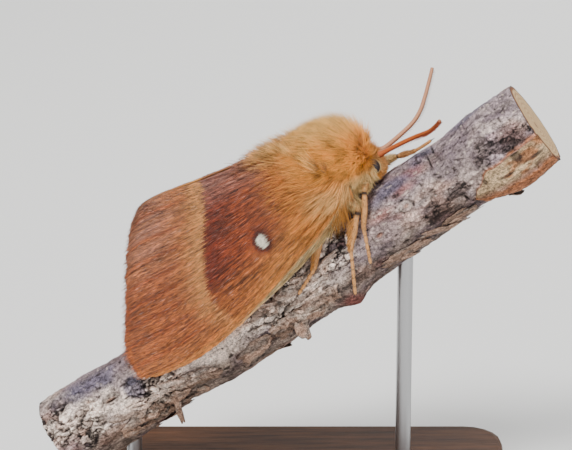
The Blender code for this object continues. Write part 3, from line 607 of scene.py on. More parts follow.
def build_mesh(name, points, faces, colours=None, bake=None):
    """A mesh object from arrays: points in world millimetres, a list of face arrays and point colours."""
    if not np.isfinite(points).all():
        raise ValueError(f"{name} has a point without a place")
    if enclosed(points, faces) < 0:
        faces = [shape[:, ::-1] for shape in faces]
    mesh = bpy.data.meshes.new(name)
    mesh.vertices.add(len(points))
    mesh.vertices.foreach_set("co", (points * MM).astype(np.float32).ravel())
    corners = np.concatenate([shape.ravel() for shape in faces]).astype(np.int32)
    counts = np.concatenate([np.full(len(shape), shape.shape[1]) for shape in faces])
    starts = np.concatenate(([0], np.cumsum(counts)[:-1])).astype(np.int32)
    mesh.loops.add(len(corners))
    mesh.loops.foreach_set("vertex_index", corners)
    mesh.polygons.add(len(counts))
    mesh.polygons.foreach_set("loop_start", starts)
    mesh.polygons.foreach_set("use_smooth", np.ones(len(counts), bool))
    mesh.update(calc_edges=True)
    if colours is not None:
        layer = mesh.color_attributes.new(TINT, "FLOAT_COLOR", "POINT")
        level = np.maximum(colours, 0.0) / np.maximum(colours.max(-1, keepdims=True), 1.0)
        opaque = np.concatenate([level, np.ones((len(points), 1))], 1)
        layer.data.foreach_set("color", opaque.astype(np.float32).ravel())
    if bake is not None:
        mesh.uv_layers.new(name=BAKE_MAP).uv.foreach_set("vector", bake[corners].astype(np.float32).ravel())
    obj = bpy.data.objects.new(name, mesh)
    bpy.context.scene.collection.objects.link(obj)
    return obj


def finish_piece(obj, material, replaces=()):
    """Gives a piece its material, its body and the nodes that it stands for."""
    obj.data.materials.append(material)
    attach(obj, "root")
    if replaces:
        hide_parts(*replaces)
    return obj


def sweep(path, wide, deep, sides, reference):
    """A closed tube: an ellipse of half sizes wide and deep carried along the path, drawn to its ends."""
    ahead = unit(np.gradient(path, axis=0))
    across = unit(np.cross(np.broadcast_to(reference, path.shape), ahead))
    out = np.cross(ahead, across)
    turn = np.linspace(0.0, 2 * np.pi, sides, endpoint=False)
    ring = (
        across[:, None] * (np.cos(turn)[None, :, None] * wide[:, None, None])
        + out[:, None] * (np.sin(turn)[None, :, None] * deep[:, None, None])
    )
    points = np.concatenate([(path[:, None] + ring).reshape(-1, 3), path[:1], path[-1:]])
    return points, tube_faces(len(path), sides)


def scatter(grid, outward, count, dice, density=None):
    """Random places on a grid, even by area: place, normal, way of the rows and two parameters."""
    down = grid[1:, :-1] - grid[:-1, :-1]
    over = grid[:-1, 1:] - grid[:-1, :-1]
    cross = np.cross(down, over)
    weight = np.linalg.norm(cross, axis=-1)
    if density is not None:
        weight = weight * density[:-1, :-1]
    pick = dice.choice(weight.size, count, p=weight.ravel() / weight.sum())
    row, column = np.unravel_index(pick, weight.shape)
    first, second = dice.random((2, count))
    place = grid[row, column] + down[row, column] * first[:, None] + over[row, column] * second[:, None]
    normal = unit(cross[row, column])
    facing = np.sign(np.einsum("ij,ij->i", normal, outward(place)))
    normal = normal * np.where(facing == 0, 1, facing)[:, None]
    size = np.array(grid.shape[:2]) - 1.0
    return place, normal, unit(down[row, column]), (row + first) / size[0], (column + second) / size[1]


def hairs(name, root, bend, tip, facing, width, foot_tint, tip_tint, where, segments=2, flatness=0.45):
    """Three-sided slivers along the quadratic curve root, bend, tip: (1-t)^2, 2t(1-t) and t^2 of each."""
    t = (np.arange(segments) / segments)[None, :, None]
    centre = root[:, None] * (1 - t) ** 2 + bend[:, None] * (2 * t * (1 - t)) + tip[:, None] * t**2
    ahead = unit((bend - root)[:, None] * (1 - t) + (tip - bend)[:, None] * t)
    across = unit(np.cross(facing[:, None], ahead))
    out = np.cross(ahead, across)
    half = 0.5 * width[:, None, None] * (1.0 - 0.85 * t**1.5)
    ring = np.stack([centre + across * half, centre + out * half * flatness, centre - across * half], 2)
    count, ridge = len(root), 3 * segments
    points = np.concatenate([ring.reshape(count, ridge, 3), tip[:, None]], 1)
    side = np.arange(3)
    beside = (side + 1) % 3
    faces = []
    for k in range(segments - 1):
        low, high = 3 * k, 3 * k + 3
        faces.append(np.stack([low + side, low + beside, high + beside], -1))
        faces.append(np.stack([low + side, high + beside, high + side], -1))
    top = 3 * (segments - 1)
    faces.append(np.stack([top + side, top + beside, np.full(3, ridge)], -1))
    faces.append(np.array([[0, 2, 1]]))
    index = np.concatenate(faces)[None] + (np.arange(count) * (ridge + 1))[:, None, None]
    height = np.concatenate([np.repeat(np.arange(segments) / segments, 3), [1.0]])
    # The tint runs from foot_tint at the root to tip_tint at the tip. Callers mostly pass a darker foot:
    # partly the hair's own colour, partly painted shade deep in the coat
    tint = foot_tint[:, None] * (1 - height[None, :, None]) + tip_tint[:, None] * height[None, :, None]
    patch = np.stack([np.concatenate([np.tile([0.0, 0.5, 1.0], segments), [0.5]]), height], -1)
    bake = where[:, None] + PATCH * (patch[None] - 0.5)
    points = to_world(points.reshape(-1, 3), MOTH_PITCH)
    return build_mesh(name, points, [index.reshape(-1, 3)], tint.reshape(-1, 3), bake.reshape(-1, 2))


class Value:
    """A node socket that takes part in Python arithmetic, adding Math nodes."""

    def __init__(self, shader, socket):
        """Wraps an output socket of that material."""
        self.shader = shader
        self.socket = socket

    def _math(self, operation, *values):
        """The Math node's result for the values."""
        return self.shader.node("ShaderNodeMath", {"operation": operation}, list(values))

    def __add__(self, other):
        return self._math("ADD", self, other)

    __radd__ = __add__

    def __sub__(self, other):
        return self._math("SUBTRACT", self, other)

    def __rsub__(self, other):
        return self._math("SUBTRACT", other, self)

    def __mul__(self, other):
        return self._math("MULTIPLY", self, other)

    __rmul__ = __mul__

    def size(self):
        """The number without its sign."""
        return self._math("ABSOLUTE", self)


class Shader:
    """One material: its Principled BSDF and a method that adds any other node."""

    def __init__(self, name, roughness, **constants):
        """Makes the material; constants set other sockets, with _ for each space."""
        self.material = bpy.data.materials.new(name)
        self.material.use_nodes = True
        self.tree = self.material.node_tree
        self.surface = self.tree.nodes["Principled BSDF"]
        self.surface.inputs["Roughness"].default_value = roughness
        for socket, value in constants.items():
            self.surface.inputs[socket.replace("_", " ")].default_value = value

    def node(self, kind, settings=None, inputs=None, output=0):
        """Adds a node: its settings first, then the values or links of its sockets, by name or place."""
        made = self.tree.nodes.new(kind)
        for setting, value in (settings or {}).items():
            setattr(made, setting, value)
        pairs = inputs.items() if isinstance(inputs, dict) else enumerate(inputs or [])
        for socket, value in pairs:
            if isinstance(value, Value):
                self.tree.links.new(value.socket, made.inputs[socket])
            else:
                made.inputs[socket].default_value = value
        return Value(self, made.outputs[output])

    def feed(self, socket, value):
        """Links a value to a socket of the Principled BSDF."""
        self.tree.links.new(value.socket, self.surface.inputs[socket])

    def tint(self):
        """The tint that the mesh carries at its points."""
        return self.node("ShaderNodeAttribute", {"attribute_name": TINT})

    def place(self):
        """Object coordinates."""
        return self.node("ShaderNodeTexCoord", output=3)

    def stretched(self, scale=(1.0, 1.0, 1.0), vector=None):
        """Object coordinates in millimetres, or another vector, scaled along each axis."""
        inputs = {"Vector": vector or self.place(), "Scale": tuple(v / MM for v in scale)}
        return self.node("ShaderNodeMapping", None, inputs)

    def along_branch(self, scale):
        """Object coordinates in millimetres, turned so that X runs along the branch, then scaled."""
        inputs = {"Vector": self.place(), "Rotation": (0.0, math.radians(BRANCH_PITCH), 0.0)}
        return self.stretched(scale, self.node("ShaderNodeMapping", None, inputs))

    def ramp(self, value, stops):
        """A number that goes in a straight line between two stops of (place, number), level beyond."""
        inputs = {"Value": value, "From Min": stops[0][0], "From Max": stops[1][0]}
        inputs.update({"To Min": stops[0][1], "To Max": stops[1][1]})
        return self.node("ShaderNodeMapRange", {"clamp": True}, inputs)

    def noise(self, place, scale, detail=3.0, roughness=0.55):
        """A noise from 0 to 1, mostly near 0.5."""
        inputs = {"Vector": place, "Scale": scale, "Detail": detail, "Roughness": roughness}
        return self.node("ShaderNodeTexNoise", None, inputs)

    def mix(self, first, second, share):
        """Two colours mixed by a share."""
        inputs = {6: first, 7: second, 0: share}
        return self.node("ShaderNodeMix", {"data_type": "RGBA"}, inputs, output=2)

    def shade(self, tint, amount):
        """The colour made lighter or darker by an amount around 1."""
        return self.node("ShaderNodeVectorMath", {"operation": "SCALE"}, {"Vector": tint, "Scale": amount})

    def bump(self, height, depth, strength=0.6):
        """Bump of that depth in millimetres."""
        inputs = {"Strength": strength, "Distance": depth * MM, "Height": height}
        self.feed("Normal", self.node("ShaderNodeBump", None, inputs))


def opaque(tone):
    """A colour with its alpha, for a socket."""
    return (*tone, 1.0)


def grained(name, roughness, scale, detail, low, span, depth=0.0, **constants):
    """The points' tint times low plus span times a fine noise, with bump where it has a depth."""
    shader = Shader(name, roughness, **constants)
    grain = shader.noise(shader.stretched(), scale, detail)
    shader.feed("Base Color", shader.shade(shader.tint(), grain * span + low))
    if depth:
        shader.bump(grain, depth)
    return shader.material


def coat_material(name, roughness=0.62):
    """Hair scales: the tint of each tuft, lighter and darker in fine steps, with a soft sheen."""
    sheen = {"Sheen_Weight": 0.1, "Sheen_Roughness": 0.5}
    return grained(name, roughness, 1.6, 3.0, 0.84, 0.35, Specular_IOR_Level=0.15, **sheen)


def wing_material(name):
    """Membrane under the scales: its pattern, with a fine grain of scales."""
    return grained(name, 0.7, 6.0, 4.0, 0.68, 0.6, 0.05, Specular_IOR_Level=0.25, Sheen_Weight=0.15)


def chitin_material(name, roughness=0.5):
    """Legs, feelers and sawn wood: the tint with a fine grain."""
    return grained(name, roughness, 7.0, 3.0, 0.62, 0.7, 0.04, Specular_IOR_Level=0.3)


def bark_material():
    """Bark: the tint worked out with its relief, with fine cracks drawn along the branch, specks and grit."""
    shader = Shader("grey_bark", 0.85, Specular_IOR_Level=0.25)
    place = shader.along_branch((1.0, 1.0, 1.0))
    drawn = shader.along_branch((0.4, 1.0, 1.0))
    speckle = shader.noise(place, 2.6, 6.0, 0.72)
    grit = shader.noise(place, 8.0, 3.0, 0.65)
    seam = shader.noise(drawn, 1.7, 5.0, 0.6)
    crack = shader.ramp((seam - 0.5).size(), ((0.0, 1.0), (0.03, 0.0)))
    patches = shader.ramp(speckle, ((0.38, 0.54), (0.62, 1.46)))
    grains = shader.ramp(grit, ((0.36, 0.62), (0.64, 1.38)))
    plates = shader.node("ShaderNodeAttribute", {"attribute_name": PLATES}, output=2)
    bend = shader.node("ShaderNodeTexNoise", None, {"Vector": place, "Scale": 1.1, "Detail": 3.0}, output=1)
    stretch = [bend, (1.1, 1.1, 1.1), drawn]
    warped = shader.node("ShaderNodeVectorMath", {"operation": "MULTIPLY_ADD"}, stretch)
    broken = shader.ramp(shader.noise(place, 0.9, 2.0), ((0.42, 0.0), (0.56, 1.0)))
    inputs = {"Vector": warped, "Scale": 0.9}
    edge = shader.node("ShaderNodeTexVoronoi", {"feature": "DISTANCE_TO_EDGE"}, inputs)
    chips = shader.node("ShaderNodeTexVoronoi", {"feature": "F1"}, inputs, output=1)
    split = shader.ramp(edge, ((0.03, 1.0), (0.11, 0.0))) * broken * plates
    scales = 1 + shader.ramp(chips, ((0.2, -0.25), (0.8, 0.4))) * plates
    shade = patches * grains * scales * (1 - crack * 0.6) * (1 - split * 0.85)
    shader.feed("Base Color", shader.shade(shader.tint(), shade))
    shader.bump(speckle + grit * 0.6 - crack * 0.4 - split * 0.8, 0.16, 0.9)
    return shader.material


def eye_material(paint):
    """Faceted eye: dark, glossy, with rows of tiny lenses as bump."""
    shader = Shader("dark_eye", 0.3, Specular_IOR_Level=0.3)
    inputs = {"Vector": shader.stretched(), "Scale": 14.0}
    lenses = shader.node("ShaderNodeTexVoronoi", {"feature": "F1"}, inputs)
    patch = shader.noise(shader.stretched(), 0.9)
    shader.feed("Base Color", shader.mix(opaque(paint["eye"]), opaque(paint["eye"] * 2.0), patch))
    shader.bump(1 - lenses, 0.03)
    return shader.material


def wood_material(paint):
    """Dark satin wood: rings cut lengthwise, drawn out along the base."""
    shader = Shader("stand_wood", 0.5, Specular_IOR_Level=0.15)
    warp = shader.noise(shader.stretched((0.06, 0.5, 0.5)), 1.2, 4.0)
    lines = shader.noise(shader.stretched((0.05, 0.6, 0.6)), 2.2, 6.0, 0.65)
    grain = shader.ramp(lines, ((0.36, 0.0), (0.62, 1.0)))
    pores = shader.noise(shader.stretched((0.25, 6.0, 6.0)), 2.0, 2.0)
    dark, light = (opaque(paint["base_wood"] * level) for level in (0.55, 1.5))
    shader.feed("Base Color", shader.mix(dark, light, grain * 0.8 + warp * 0.3 - pores * 0.25))
    shader.feed("Roughness", pores * 0.25 + 0.36)
    shader.bump(pores, 0.04)
    return shader.material


def steel_material(paint):
    """Brushed steel: fine lines drawn round the rod."""
    shader = Shader("stand_steel", 0.3, Metallic=1.0)
    lines = shader.noise(shader.stretched((1.0, 1.0, 30.0)), 2.0, 3.0)
    shader.feed("Base Color", shader.mix(opaque(paint["steel"] * 0.8), opaque(paint["steel"]), lines))
    shader.feed("Roughness", lines * 0.2 + 0.22)
    shader.bump(lines, 0.01)
    return shader.material


def streaks(run, across, seed, long=7.0, fine=190.0):
    """Uneven lines that run from the root to the edge of a wing, from 0 to 1."""
    return fractal(np.stack([run * long, across * fine, run * 0.0], -1), 1.0, 2, seed)


def wing_pattern(wing, along, up, run, across, paint):
    """Forewing by place: tan costa, russet field, pale band with one sharp edge, bloom and ringed spot."""
    place = np.stack([along, up, up * 0], -1)
    line = streaks(run, across, 13) - 0.5
    wander = (fractal(place, 2.2, 3, 5) - 0.5) * 0.7 + line * 0.8
    beyond = np.interp(up, *np.array(BAND_EDGE).T) - along + wander
    near_costa = smooth(0.42, 0.04, across + 0.12 * (fractal(place, 3.0, 2, 9) - 0.5) + 0.14 * line)
    front = blend(paint["costa_tan"], paint["russet"], 0.6 * smooth(-8.0, -15.0, along))
    inner = layered(
        paint["russet"],
        (paint["maroon"], smooth(-6.5, -0.5, beyond) * smooth(0.04, 0.4, across)),
        (paint["bloom"], 0.7 * smooth(0.74, 0.95, across) * smooth(0.15, 0.4, run) * (0.8 + line)),
        (front, near_costa * 0.95),
        (paint["costa_tan"], smooth(0.42, 0.02, run + 0.12 * line) * 0.8),
    )
    dusk = smooth(0.04, 0.22, across) * smooth(0.75, 0.5, across) * smooth(2.0, 6.0, beyond)
    pale = smooth(3.6, 0.3, beyond - 3.5 * line) * (1.0 - 0.6 * near_costa)
    outer = layered(
        paint["outer_wing"],
        (paint["russet"], 0.6 * dusk + 0.5 * smooth(0.55, 0.8, fractal(place, 3.5, 2, 23))),
        (paint["bloom"], smooth(2.0, 8.0, beyond) * smooth(0.45, 0.85, across) * (0.55 + line)),
        (front, near_costa * 0.5),
        (paint["band"], np.clip(pale, 0, 1)),
    )
    away = np.hypot(along - SPOT_PLACE[0], (up - SPOT_PLACE[1]) * 0.98) - SPOT_RADIUS
    away = away + 0.2 * (fractal(place, 0.6, 2, 3) - 0.5)
    return layered(
        inner,
        (outer, smooth(-0.2, 0.3, beyond)),
        (paint["russet"], 0.6 * vein_tint(wing, run, across) * smooth(1.0, 5.0, beyond)),
        (paint["russet"], smooth(EDGE_RUN - 0.02, EDGE_RUN, run) * 0.55),
        (paint["costa_tan"], 0.55 * smooth(0.11, 0.02, across)),
        (paint["cream"], smooth(0.025, 0.01, across) * smooth(0.7, 0.45, run)),
        (paint["maroon"], 0.75 * smooth(1.3, 0.2, away)),
        (paint["spot_ring"], smooth(0.6, 0.2, away)),
        (paint["spot_white"], smooth(0.02, -0.1, away)),
    )


def hindwing_pattern(wing, along, up, run, across, paint):
    """Plain tan hindwing with a cream front edge."""
    return layered(
        paint["hindwing_tan"],
        (paint["outer_wing"], smooth(0.5, 1.0, run)),
        (paint["cream"], smooth(0.16, 0.06, across)),
    )


def vein_tint(wing, run, across):
    """How near each place is to a vein, 0 to 1, with those of the cell starting at its end."""
    height = np.zeros_like(run)
    for vein in wing["veins"]:
        starts = 0.04 if vein in wing["stem_veins"] else wing["cell_end"]
        height = np.maximum(height, bell(across - vein, 0.012) * smooth(starts - 0.03, starts + 0.03, run))
    return height


def vein_relief(wing, run, across):
    """Height of the veins, 0 to 1, with the cross vein that closes the cell."""
    low, high = wing["stem_veins"][1], wing["stem_veins"][2]
    cross = bell(run - wing["cell_end"], 0.01) * (across > low) * (across < high)
    return np.maximum(vein_tint(wing, run, across), cross * 0.15)


def wing_grid(shape):
    """The run from root to edge and the place across, over a grid of that shape."""
    return np.meshgrid(np.linspace(0, EDGE_RUN, shape[0]), np.linspace(0, 1, shape[1]), indexing="ij")


def wing_plate(name, wing, side, shape, pattern, paint):
    """A wing's membrane: an outer and an inner grid a scale's depth apart, joined round the edge."""
    run, across = wing_grid(shape)
    inner = wing_surface(wing, side, run, across)
    out = grid_normals(inner)
    out = out * np.sign(out[..., 1:2] * side)
    place = np.stack([inner[..., 0], inner[..., 2], run * 0], -1)
    edge = np.minimum(np.minimum(across, 1 - across) * 14, (EDGE_RUN - run) * 22)
    depth = 0.16 + 0.26 * smooth(0.0, 1.0, edge)
    ripple = 0.3 * (fractal(place, 4.5, 2, 11) - 0.5) + 0.09 * np.sin(across * 60.0) * smooth(0.3, 1.0, run)
    middle = inner + out * (PLATE / 2 + ripple * smooth(0.1, 0.4, run))[..., None]
    relief = 0.2 * vein_relief(wing, run, across)
    top = middle + out * (depth / 2 + relief)[..., None]
    under = middle - out * (depth / 2 + 0.3 * relief)[..., None]
    tint = pattern(wing, place[..., 0], place[..., 1], run, across, paint)
    inside = blend(tint, paint["hindwing_tan"], run * 0 + 0.6)
    points = np.concatenate([top.reshape(-1, 3), under.reshape(-1, 3)])
    tones = np.concatenate([tint.reshape(-1, 3) * 0.8, inside.reshape(-1, 3)])
    return build_mesh(name, to_world(points, MOTH_PITCH), plate_faces(*shape), tones), top


def off_the_spot(place, reach):
    """0 where hair rooted at a place would lie over the spot, 1 away from it."""
    away = np.hypot(place[..., 0] - SPOT_PLACE[0] - 0.4 * reach, place[..., 2] - SPOT_PLACE[1])
    return smooth(SPOT_RADIUS + 0.3 * reach, SPOT_RADIUS + 0.9 * reach, away)


def sideways(side):
    """A function that gives each place the direction out to that side."""
    return lambda place: np.broadcast_to((0.0, side, 0.0), place.shape)


def wing_scale_coat(name, wing, side, surface, count, pattern, paint, dice):
    """Hair scales on the wing: long and lifted near the root, short and close-lying towards the edge."""
    root, normal, along, run, across = scatter(surface, sideways(side), count, dice)
    run = run * EDGE_RUN
    spot = np.hypot(root[:, 0] - SPOT_PLACE[0], root[:, 2] - SPOT_PLACE[1]) - SPOT_RADIUS
    close = smooth(1.5, 0.2, spot) if wing is FOREWING else np.zeros(count)
    way = unit(along + np.cross(normal, along) * dice.normal(0.0, 0.07, count)[:, None])
    length = (1.15 + 1.6 * smooth(0.55, 0.05, run)) * dice.uniform(0.6, 1.4, count) * (1 - 0.6 * close)
    lift = (0.1 + 0.4 * smooth(0.4, 0.05, run)) * dice.uniform(0.3, 1.6, count) * (1 - 0.7 * close)
    place = root + way * (0.5 * length)[:, None]
    tone = pattern(wing, place[:, 0], place[:, 2], run, across, paint)
    strength = 1.5 + 0.9 * smooth(0.6, 0.45, run)
    shade = 1.0 + strength * (streaks(run, across, 29, 9.0, 170.0) - 0.5)
    shade = shade * np.clip(dice.normal(1.02, 0.55, count), 0.25, 2.4)
    tone = tone * (close + (1 - close) * shade)[:, None]
    pale = dice.random(count) < 0.02 * (1 - close) * (run < 0.92)
    tone = np.where(pale[:, None], tone * 1.6 + 0.22, tone)
    tip = root + way * length[:, None] + normal * lift[:, None]
    bend = root + way * (0.5 * length)[:, None] + normal * (0.8 * lift + 0.05)[:, None]
    width = dice.uniform(0.06, 0.11, count)
    where = np.stack([run, across], -1)
    # The darker foot tint is partly the scale's own colour, partly painted shade at the roots
    return hairs(name, root - normal * 0.01, bend, tip, normal, width, tone * 0.85, tone * 1.25, where, 1)


def wing_base_hair(name, wing, side, surface, count, pattern, paint, dice):
    """Long soft hair over the wing's root and its back edge, lying outwards and proud of the ridge."""
    run, across = wing_grid(surface.shape)
    density = smooth(0.36, 0.02, run) + 0.9 * smooth(0.86, 1.0, across) * smooth(0.5, 0.25, run)
    density = density * off_the_spot(surface, 4.0) * smooth(0.04, 0.1, across)
    root, normal, along, run, across = scatter(surface, sideways(side), count, dice, density)
    run = run * EDGE_RUN
    ridge = smooth(0.8, 1.0, across) * smooth(0.55, 0.3, run)
    reach = (1.3 + 2.9 * smooth(0.4, 0.0, run)) * dice.uniform(0.6, 1.2, count)
    reach = reach * (0.45 + 0.55 * smooth(0.05, 0.25, across))
    sway = dice.normal(0.0, 0.1, (count, 3))
    way = unit(along + normal * 0.08 + sway + ridge[:, None] * (0.25, 0.0, 0.35))
    lift = (0.35 + 0.55 * smooth(0.35, 0.0, run)) * dice.uniform(0.4, 1.4, count)
    tip = root + way * reach[:, None] + normal * lift[:, None]
    raised = normal * (lift * 0.9 + 0.1)[:, None] + ridge[:, None] * (0, 0, 0.3)
    bend = root + way * (0.45 * reach)[:, None] + raised
    gold = smooth(0.4, 0.0, run + 0.12 * dice.normal(size=count))
    tone = layered(
        pattern(wing, root[:, 0], root[:, 2], run, across, paint),
        (paint["coat_gold"], 0.75 * gold),
        (paint["coat_chest"], 0.5 * smooth(-2.0, 2.5, root[:, 0]) * smooth(10.5, 8.5, root[:, 2])),
    )
    tone = tone * (1.0 - 0.08 * smooth(10.0, 12.0, root[:, 2]) * (1.0 - ridge))[:, None]
    tone = blend(tone, paint["coat_pale"], ridge * dice.uniform(0.3, 0.95, count) * smooth(0.5, 0.2, run))
    shade = dice.normal(1.0, 0.25, count) * (1.0 + 2.3 * (fractal(root, 0.5, 2, 307) - 0.5))
    tone = tone * np.clip(shade, 0.35, 1.9)[:, None]
    where = np.stack([run, across], -1)
    width = dice.uniform(0.05, 0.1, count)
    # The darker foot tint is partly the hair's own colour, partly painted shade at the roots
    return hairs(name, root - normal * 0.05, bend, tip, normal, width, tone * 0.7, tone * 1.2, where, 3)


def wing_fringe(name, wing, side, surface, count, pattern, paint, dice):
    """Fringe on the wing's outer edge: short scales that carry it on, worn through in two places."""
    across = dice.random(count)
    columns = surface.shape[1] - 1
    column = across * columns
    low = np.minimum(column.astype(int), columns - 1)
    share = (column - low)[:, None]
    edge = surface[-1, low] * (1 - share) + surface[-1, low + 1] * share
    before = surface[-4, low] * (1 - share) + surface[-4, low + 1] * share
    along = unit(edge - before)
    beside = unit(surface[-1, low + 1] - surface[-1, low])
    normal = unit(np.cross(along, beside))
    normal = normal * np.sign(normal[:, 1:2] * side)
    way = unit(along + beside * dice.normal(0.0, 0.14, count)[:, None])
    worn = bell(across - 0.80, 0.008) + bell(across - 0.9, 0.008)
    length = (0.68 + 0.1 * np.cos(across * 2 * np.pi * 9)) * dice.uniform(0.6, 1.15, count) * (1 - 0.9 * worn)
    back, sunk = dice.uniform(0.1, 0.6, count), dice.uniform(0.0, 0.2, count)
    root = edge - along * back[:, None] - normal * sunk[:, None]
    tip = edge + way * length[:, None] + normal * dice.normal(0.0, 0.06, count)[:, None]
    ones = np.ones(count)
    tone = pattern(wing, edge[:, 0], edge[:, 2], ones * (EDGE_RUN - 0.015), across, paint)
    tone = tone * dice.normal(0.95, 0.2, (count, 1))
    where = np.stack([ones, across], -1)
    # The darker foot tint is partly the scale's own colour, partly painted shade at the roots
    return hairs(name, root, (root + tip) / 2, tip, normal, ones * 0.13, tone * 0.8, tone * 1.1, where)


def wing_cover():
    """Half width of the forewing's inner face over a grid of along and up, with nan where there is none."""
    samples = np.linspace(0, 1, COVER_SAMPLES)
    run, across = np.meshgrid(samples, samples, indexing="ij")
    surface = wing_surface(FOREWING, 1, run, across)
    cover = np.full(COVER_SHAPE, np.nan)
    cover[cover_cell(surface)] = surface[..., 1]
    return cover


def cover_cell(place):
    """The cell of the cover grid that holds each place."""
    row, column = (
        np.clip(((place[..., axis] - corner) / COVER_CELL).astype(int), 0, count - 1)
        for axis, corner, count in zip((0, 2), COVER_CORNER, COVER_SHAPE)
    )
    return row, column


def around_wings(points, root, cover):
    """Keeps hairs rooted under the wings below them, and lays the others over the wings' outer faces."""
    half = cover[cover_cell(points)]
    under = np.abs(root[:, 1]) < np.nan_to_num(cover[cover_cell(root)], nan=-1.0)
    side = np.where(points[:, 1] < 0, -1.0, 1.0)
    reach = np.abs(points[:, 1])
    over = np.maximum(reach, half + PLATE + 0.15)
    inside = np.minimum(reach, np.maximum(half - 0.1, 0.05))
    moved = np.where(under, inside, over)
    points = points.copy()
    points[:, 1] = side * np.where(np.isnan(half), reach, moved)
    return points


def coat_level(points):
    """How far out in the coat a point is, as a superellipsoid: 1 at the tips of its longest hairs."""
    scaled = np.abs(points - COAT_CENTRE) / COAT_HALF
    return (scaled**COAT_ROUNDNESS).sum(-1) ** (1 / COAT_ROUNDNESS)


def reach_to_level(points, way, level):
    """How far along the way each point comes out at its level of the coat, by halving the interval."""
    low, high = np.zeros(len(points)), np.full(len(points), COAT_REACH)
    for _ in range(18):
        middle = (low + high) / 2
        inside = coat_level(points + way * middle[:, None]) < level
        low, high = np.where(inside, middle, low), np.where(inside, high, middle)
    return low


def body_surface(rows, columns, meeting=True):
    """The skin's grid: an ellipse carried from face to tail through the named sections."""
    along, up, wide, high = spline(BODY_SECTIONS, np.linspace(0, 1, rows)).T
    turn = np.linspace(0, 2 * np.pi, columns, endpoint=meeting)
    middle = np.broadcast_to(along[:, None], (rows, columns))
    return np.stack([middle, wide[:, None] * np.sin(turn), up[:, None] + high[:, None] * np.cos(turn)], -1)


def from_axis(place):
    """Direction away from the body's axis."""
    sections = np.array(BODY_SECTIONS)[::-1]
    centre = np.interp(place[:, 0], sections[:, 0], sections[:, 1])
    return np.stack([place[:, 0] * 0, place[:, 1], place[:, 2] - centre], -1)


def coat_tone(place, paint):
    """Coat colour by place: gold, paler on the chest and top, dark brown over the eye."""
    along, side, up = place.T
    dark = np.linalg.norm((place - np.array((6.8, 0.0, 9.4))) / np.array((1.5, 9.0, 1.1)), axis=-1)
    return layered(
        paint["coat_gold"],
        (paint["coat_pale"], 0.85 * smooth(13.4, 17.2, up + 0.3 * (along - 2.0))),
        (paint["coat_chest"], smooth(9.8, 8.0, up) * smooth(0.5, 3.0, along)),
        (paint["coat_dark"], 0.75 * smooth(1.3, 0.4, dark)),
        (paint["costa_tan"], 0.5 * smooth(0.5, -3.5, along) * smooth(1.0, 3.0, np.abs(side))),
    )


def thorax_coat(name, body, count, width, low, high, length_share):
    """Long hairs of the thorax in loose clumps, swept back, up and down from the parting."""
    surface, paint, cover, dice = body
    middle = (surface[..., 0] < NECK) & (surface[..., 0] > WAIST - 0.5)
    side_up = (surface[..., 2] - 10.5) / 3.8
    region = (middle & (side_up >= low) & (side_up <= high)).astype(float)
    clumps = count // CLUMP
    place, normal, _, t, turn = scatter(surface, from_axis, clumps, dice, region)
    member = np.repeat(np.arange(clumps), CLUMP)
    count = len(member)
    spread = unit(np.cross(normal, dice.normal(size=(clumps, 3))))
    other = np.cross(normal, spread)[member]
    angle = dice.uniform(0, 2 * np.pi, count)
    radius = np.sqrt(dice.random(count)) * CLUMP_RADIUS
    offset = spread[member] * (np.cos(angle) * radius)[:, None] + other * (np.sin(angle) * radius)[:, None]
    root = place[member] + offset
    normal = normal[member]
    sway = dice.normal(0.0, 0.11, (clumps, 3))[member] + dice.normal(0.0, 0.09, (count, 3))
    way = unit(unit(root - COAT_PARTING) * 0.9 + normal * 0.4 + np.array((-0.12, 0.0, 0.0)) + sway)
    level = dice.uniform(0.88, 1.0, clumps)[member] + dice.normal(0.0, 0.03, count)
    stray = dice.random(count) < 0.08
    level = np.where(stray, level + dice.uniform(0.03, 0.11, count), level) * length_share
    level = level * (1.0 - 0.28 * smooth(10.0, 7.5, root[:, 2]) * smooth(2.8, -0.2, root[:, 0]))
    length = np.maximum(reach_to_level(root, way, level), 0.6)
    tip = root + way * length[:, None] - offset * 0.3
    bend = root + normal * (0.42 * length)[:, None] + way * (0.22 * length)[:, None]
    tip = off_the_branch(around_wings(tip, root, cover), 0.15)
    bend = off_the_branch(around_wings(bend, root, cover), 0.15)
    tone = coat_tone(root + way * (0.6 * length)[:, None], paint)
    shade = dice.normal(1.0, 0.2, clumps)[member] * dice.normal(1.0, 0.25, count)
    glint = np.where(dice.random(count) < 0.05, 1.4, 1.0)
    shade = shade * (1.0 + 2.1 * (fractal(root, 0.6, 2, 301) - 0.5)) * glint
    tone = tone * np.clip(shade, 0.35, 1.8)[:, None]
    where = np.stack([t, turn], -1)[member]
    widths = width * dice.uniform(0.65, 1.2, count)
    # Roots at 0.6 of the tone: partly the hair's own colour, partly painted shade in the gaps between clumps
    return hairs(name, root - normal * 0.1, bend, tip, normal, widths, tone * 0.6, tone * 1.25, where)


def mirrored(place, way):
    """The same way at every place, its sideways part turned to the place's own side."""
    side = np.sign(place[:, 1])
    return np.stack([side * 0 + 1, side, side * 0 + 1], -1) * way


